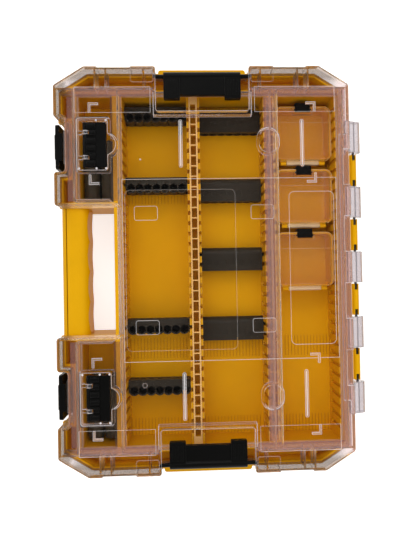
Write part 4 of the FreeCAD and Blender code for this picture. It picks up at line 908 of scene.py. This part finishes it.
# %% [markdown]
# ## Ejector marks in the recesses
# The pins that push the lid out of its mould stand in the corners of the tab recesses and leave
# small knobs there. They take the milky finish of the rounded edges, so their brightness is partly
# a painted highlight. They could be united with the lid, but a ball that is half sunk into the wall
# of its recess shows the same cap, and nothing has to be cut.

# %% Knobs in the recess corners
KNOB_RADIUS, KNOB_Z = 0.9, 64.6
KNOBS = ((-84.6, 119.6), (-77.0, 119.6), (-84.6, 81.4), (-77.0, 81.4), (-98.2, 81.4))
bm = bmesh.new()
for end in ENDS:
    for x, y in KNOBS:
        bmesh.ops.create_icosphere(bm, subdivisions=2, radius=KNOB_RADIUS * MM,
                                   matrix=Matrix.Translation(spot(x, end * y, KNOB_Z)))
piece_from(bm, "recess_knobs", [edge_clear], "lid", "clear_plastic")

# %% [markdown]
# ## Marks of the mould
# Under the lid are two small marks: the ring of a date insert, and the sprue through which the
# plastic flowed in. A torus would be too round, because the ring is a short tube with sharp edges.
# So a small outline is spun once around and its ends are merged. The sprue is a flattened ball.

# %% Date ring and sprue
LID_UNDER, RING_AT, RING_RADIUS, RING_HALF = 63.6, (-49.3, -91.0), 1.8, 0.15
RING_TOP, RING_FOOT, RING_STEPS = 0.1, -0.2, 24
SPRUE_AT, SPRUE_RADIUS, SPRUE_FLAT = (-50.2, 88.2), 0.9, 0.4
bm = bmesh.new()
ring_middle = spot(*RING_AT, LID_UNDER)
inner, outer = RING_RADIUS - RING_HALF, RING_RADIUS + RING_HALF
square = ((inner, RING_TOP), (outer, RING_TOP), (outer, RING_FOOT), (inner, RING_FOOT))
verts = [bm.verts.new(ring_middle + Vector((out, 0.0, up)) * MM) for out, up in square]
edges = [bm.edges.new((verts[i], verts[(i + 1) % 4])) for i in range(4)]
bmesh.ops.spin(bm, geom=verts + edges, cent=ring_middle, axis=(0.0, 0.0, 1.0),
               angle=2.0 * math.pi, steps=RING_STEPS, use_merge=True)
dome = Matrix.Translation(spot(*SPRUE_AT, LID_UNDER)) @ Matrix.Diagonal((1.0, 1.0, SPRUE_FLAT, 1.0))
bmesh.ops.create_icosphere(bm, subdivisions=2, radius=SPRUE_RADIUS * MM, matrix=dome)
piece_from(bm, "mould_marks", [mark_frost], "lid", "clear_plastic")

# %% [markdown]
# ## Ribs on the tray floor
# Low ribs stiffen the floor near the ends of the columns, where the bars stand. The mould maker
# mills them as straight grooves. An Array modifier could repeat one rib, but a loop makes all the
# rows as one piece: narrow blocks, a little sunk into the floor. Their deeper yellow is a painted
# shade, which stands in for the shadow beside each rib, where little light reaches the floor.

# %% Floor ribs
FLOOR_TOP, FLOOR_RIB_PITCH, FLOOR_RIB_WIDTH = 3.0, 2.9, 0.6
FLOOR_RIB_RISE, FLOOR_RIB_SUNK = 0.4, 0.3
COLUMNS = ((-66.5, -14.5), (-1.5, 50.0), (63.0, 111.0))
RIB_ROWS = ((131.0, 147.0), (60.0, 78.0), (-78.0, -60.0), (-147.0, -131.0))
# A painted shade: the ribs' deeper yellow stands in for the shadow beside them.
rib_painted_shade = moulded_plastic("rib_painted_shade", (0.60, 0.27, 0.001), (0.70, 0.36, 0.01),
                             grain=0.12, rough=0.40, edge_radius=0.2, gloss=0.06)
bm = bmesh.new()
for left, right in COLUMNS:
    for near, far in RIB_ROWS:
        if (left, right) == COLUMNS[-1] and far > 0.0:
            continue
        for index in range(int((right - left) / FLOOR_RIB_PITCH) + 1):
            x = left + index * FLOOR_RIB_PITCH
            add_block(bm, spot(x, near, FLOOR_TOP - FLOOR_RIB_SUNK),
                      spot(x + FLOOR_RIB_WIDTH, far, FLOOR_TOP + FLOOR_RIB_RISE))
piece_from(bm, "floor_ribs", [rib_painted_shade], "base", "tray_plastic")

# %% [markdown]
# ## Webs in the rails
# The two rails are hollow ladders. Looking down into a cell one sees no deep hole but brown
# plastic, so a thin web closes the cells a little below the top. A mould makes it where its two
# halves meet. A web for each cell would take many blocks. One long plate in each rail shows the
# same, because the ribs stand through it, and it takes its place from the rail's box.

# %% Webs in the rails
WEB_DOWN, WEB_THICK, WEB_HALF, WEB_END = 10.0, 0.8, 2.25, 4.0
bm = bmesh.new()
for rail in ("partition_left", "partition_right"):
    low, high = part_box(rail)
    middle, top = (low.x + high.x) / 2, high.z - WEB_DOWN * MM
    add_block(bm, Vector((middle - WEB_HALF * MM, low.y + WEB_END * MM, top - WEB_THICK * MM)),
              Vector((middle + WEB_HALF * MM, high.y - WEB_END * MM, top)))
piece_from(bm, "rail_webs", [rail_yellow], "base", "tray_plastic")
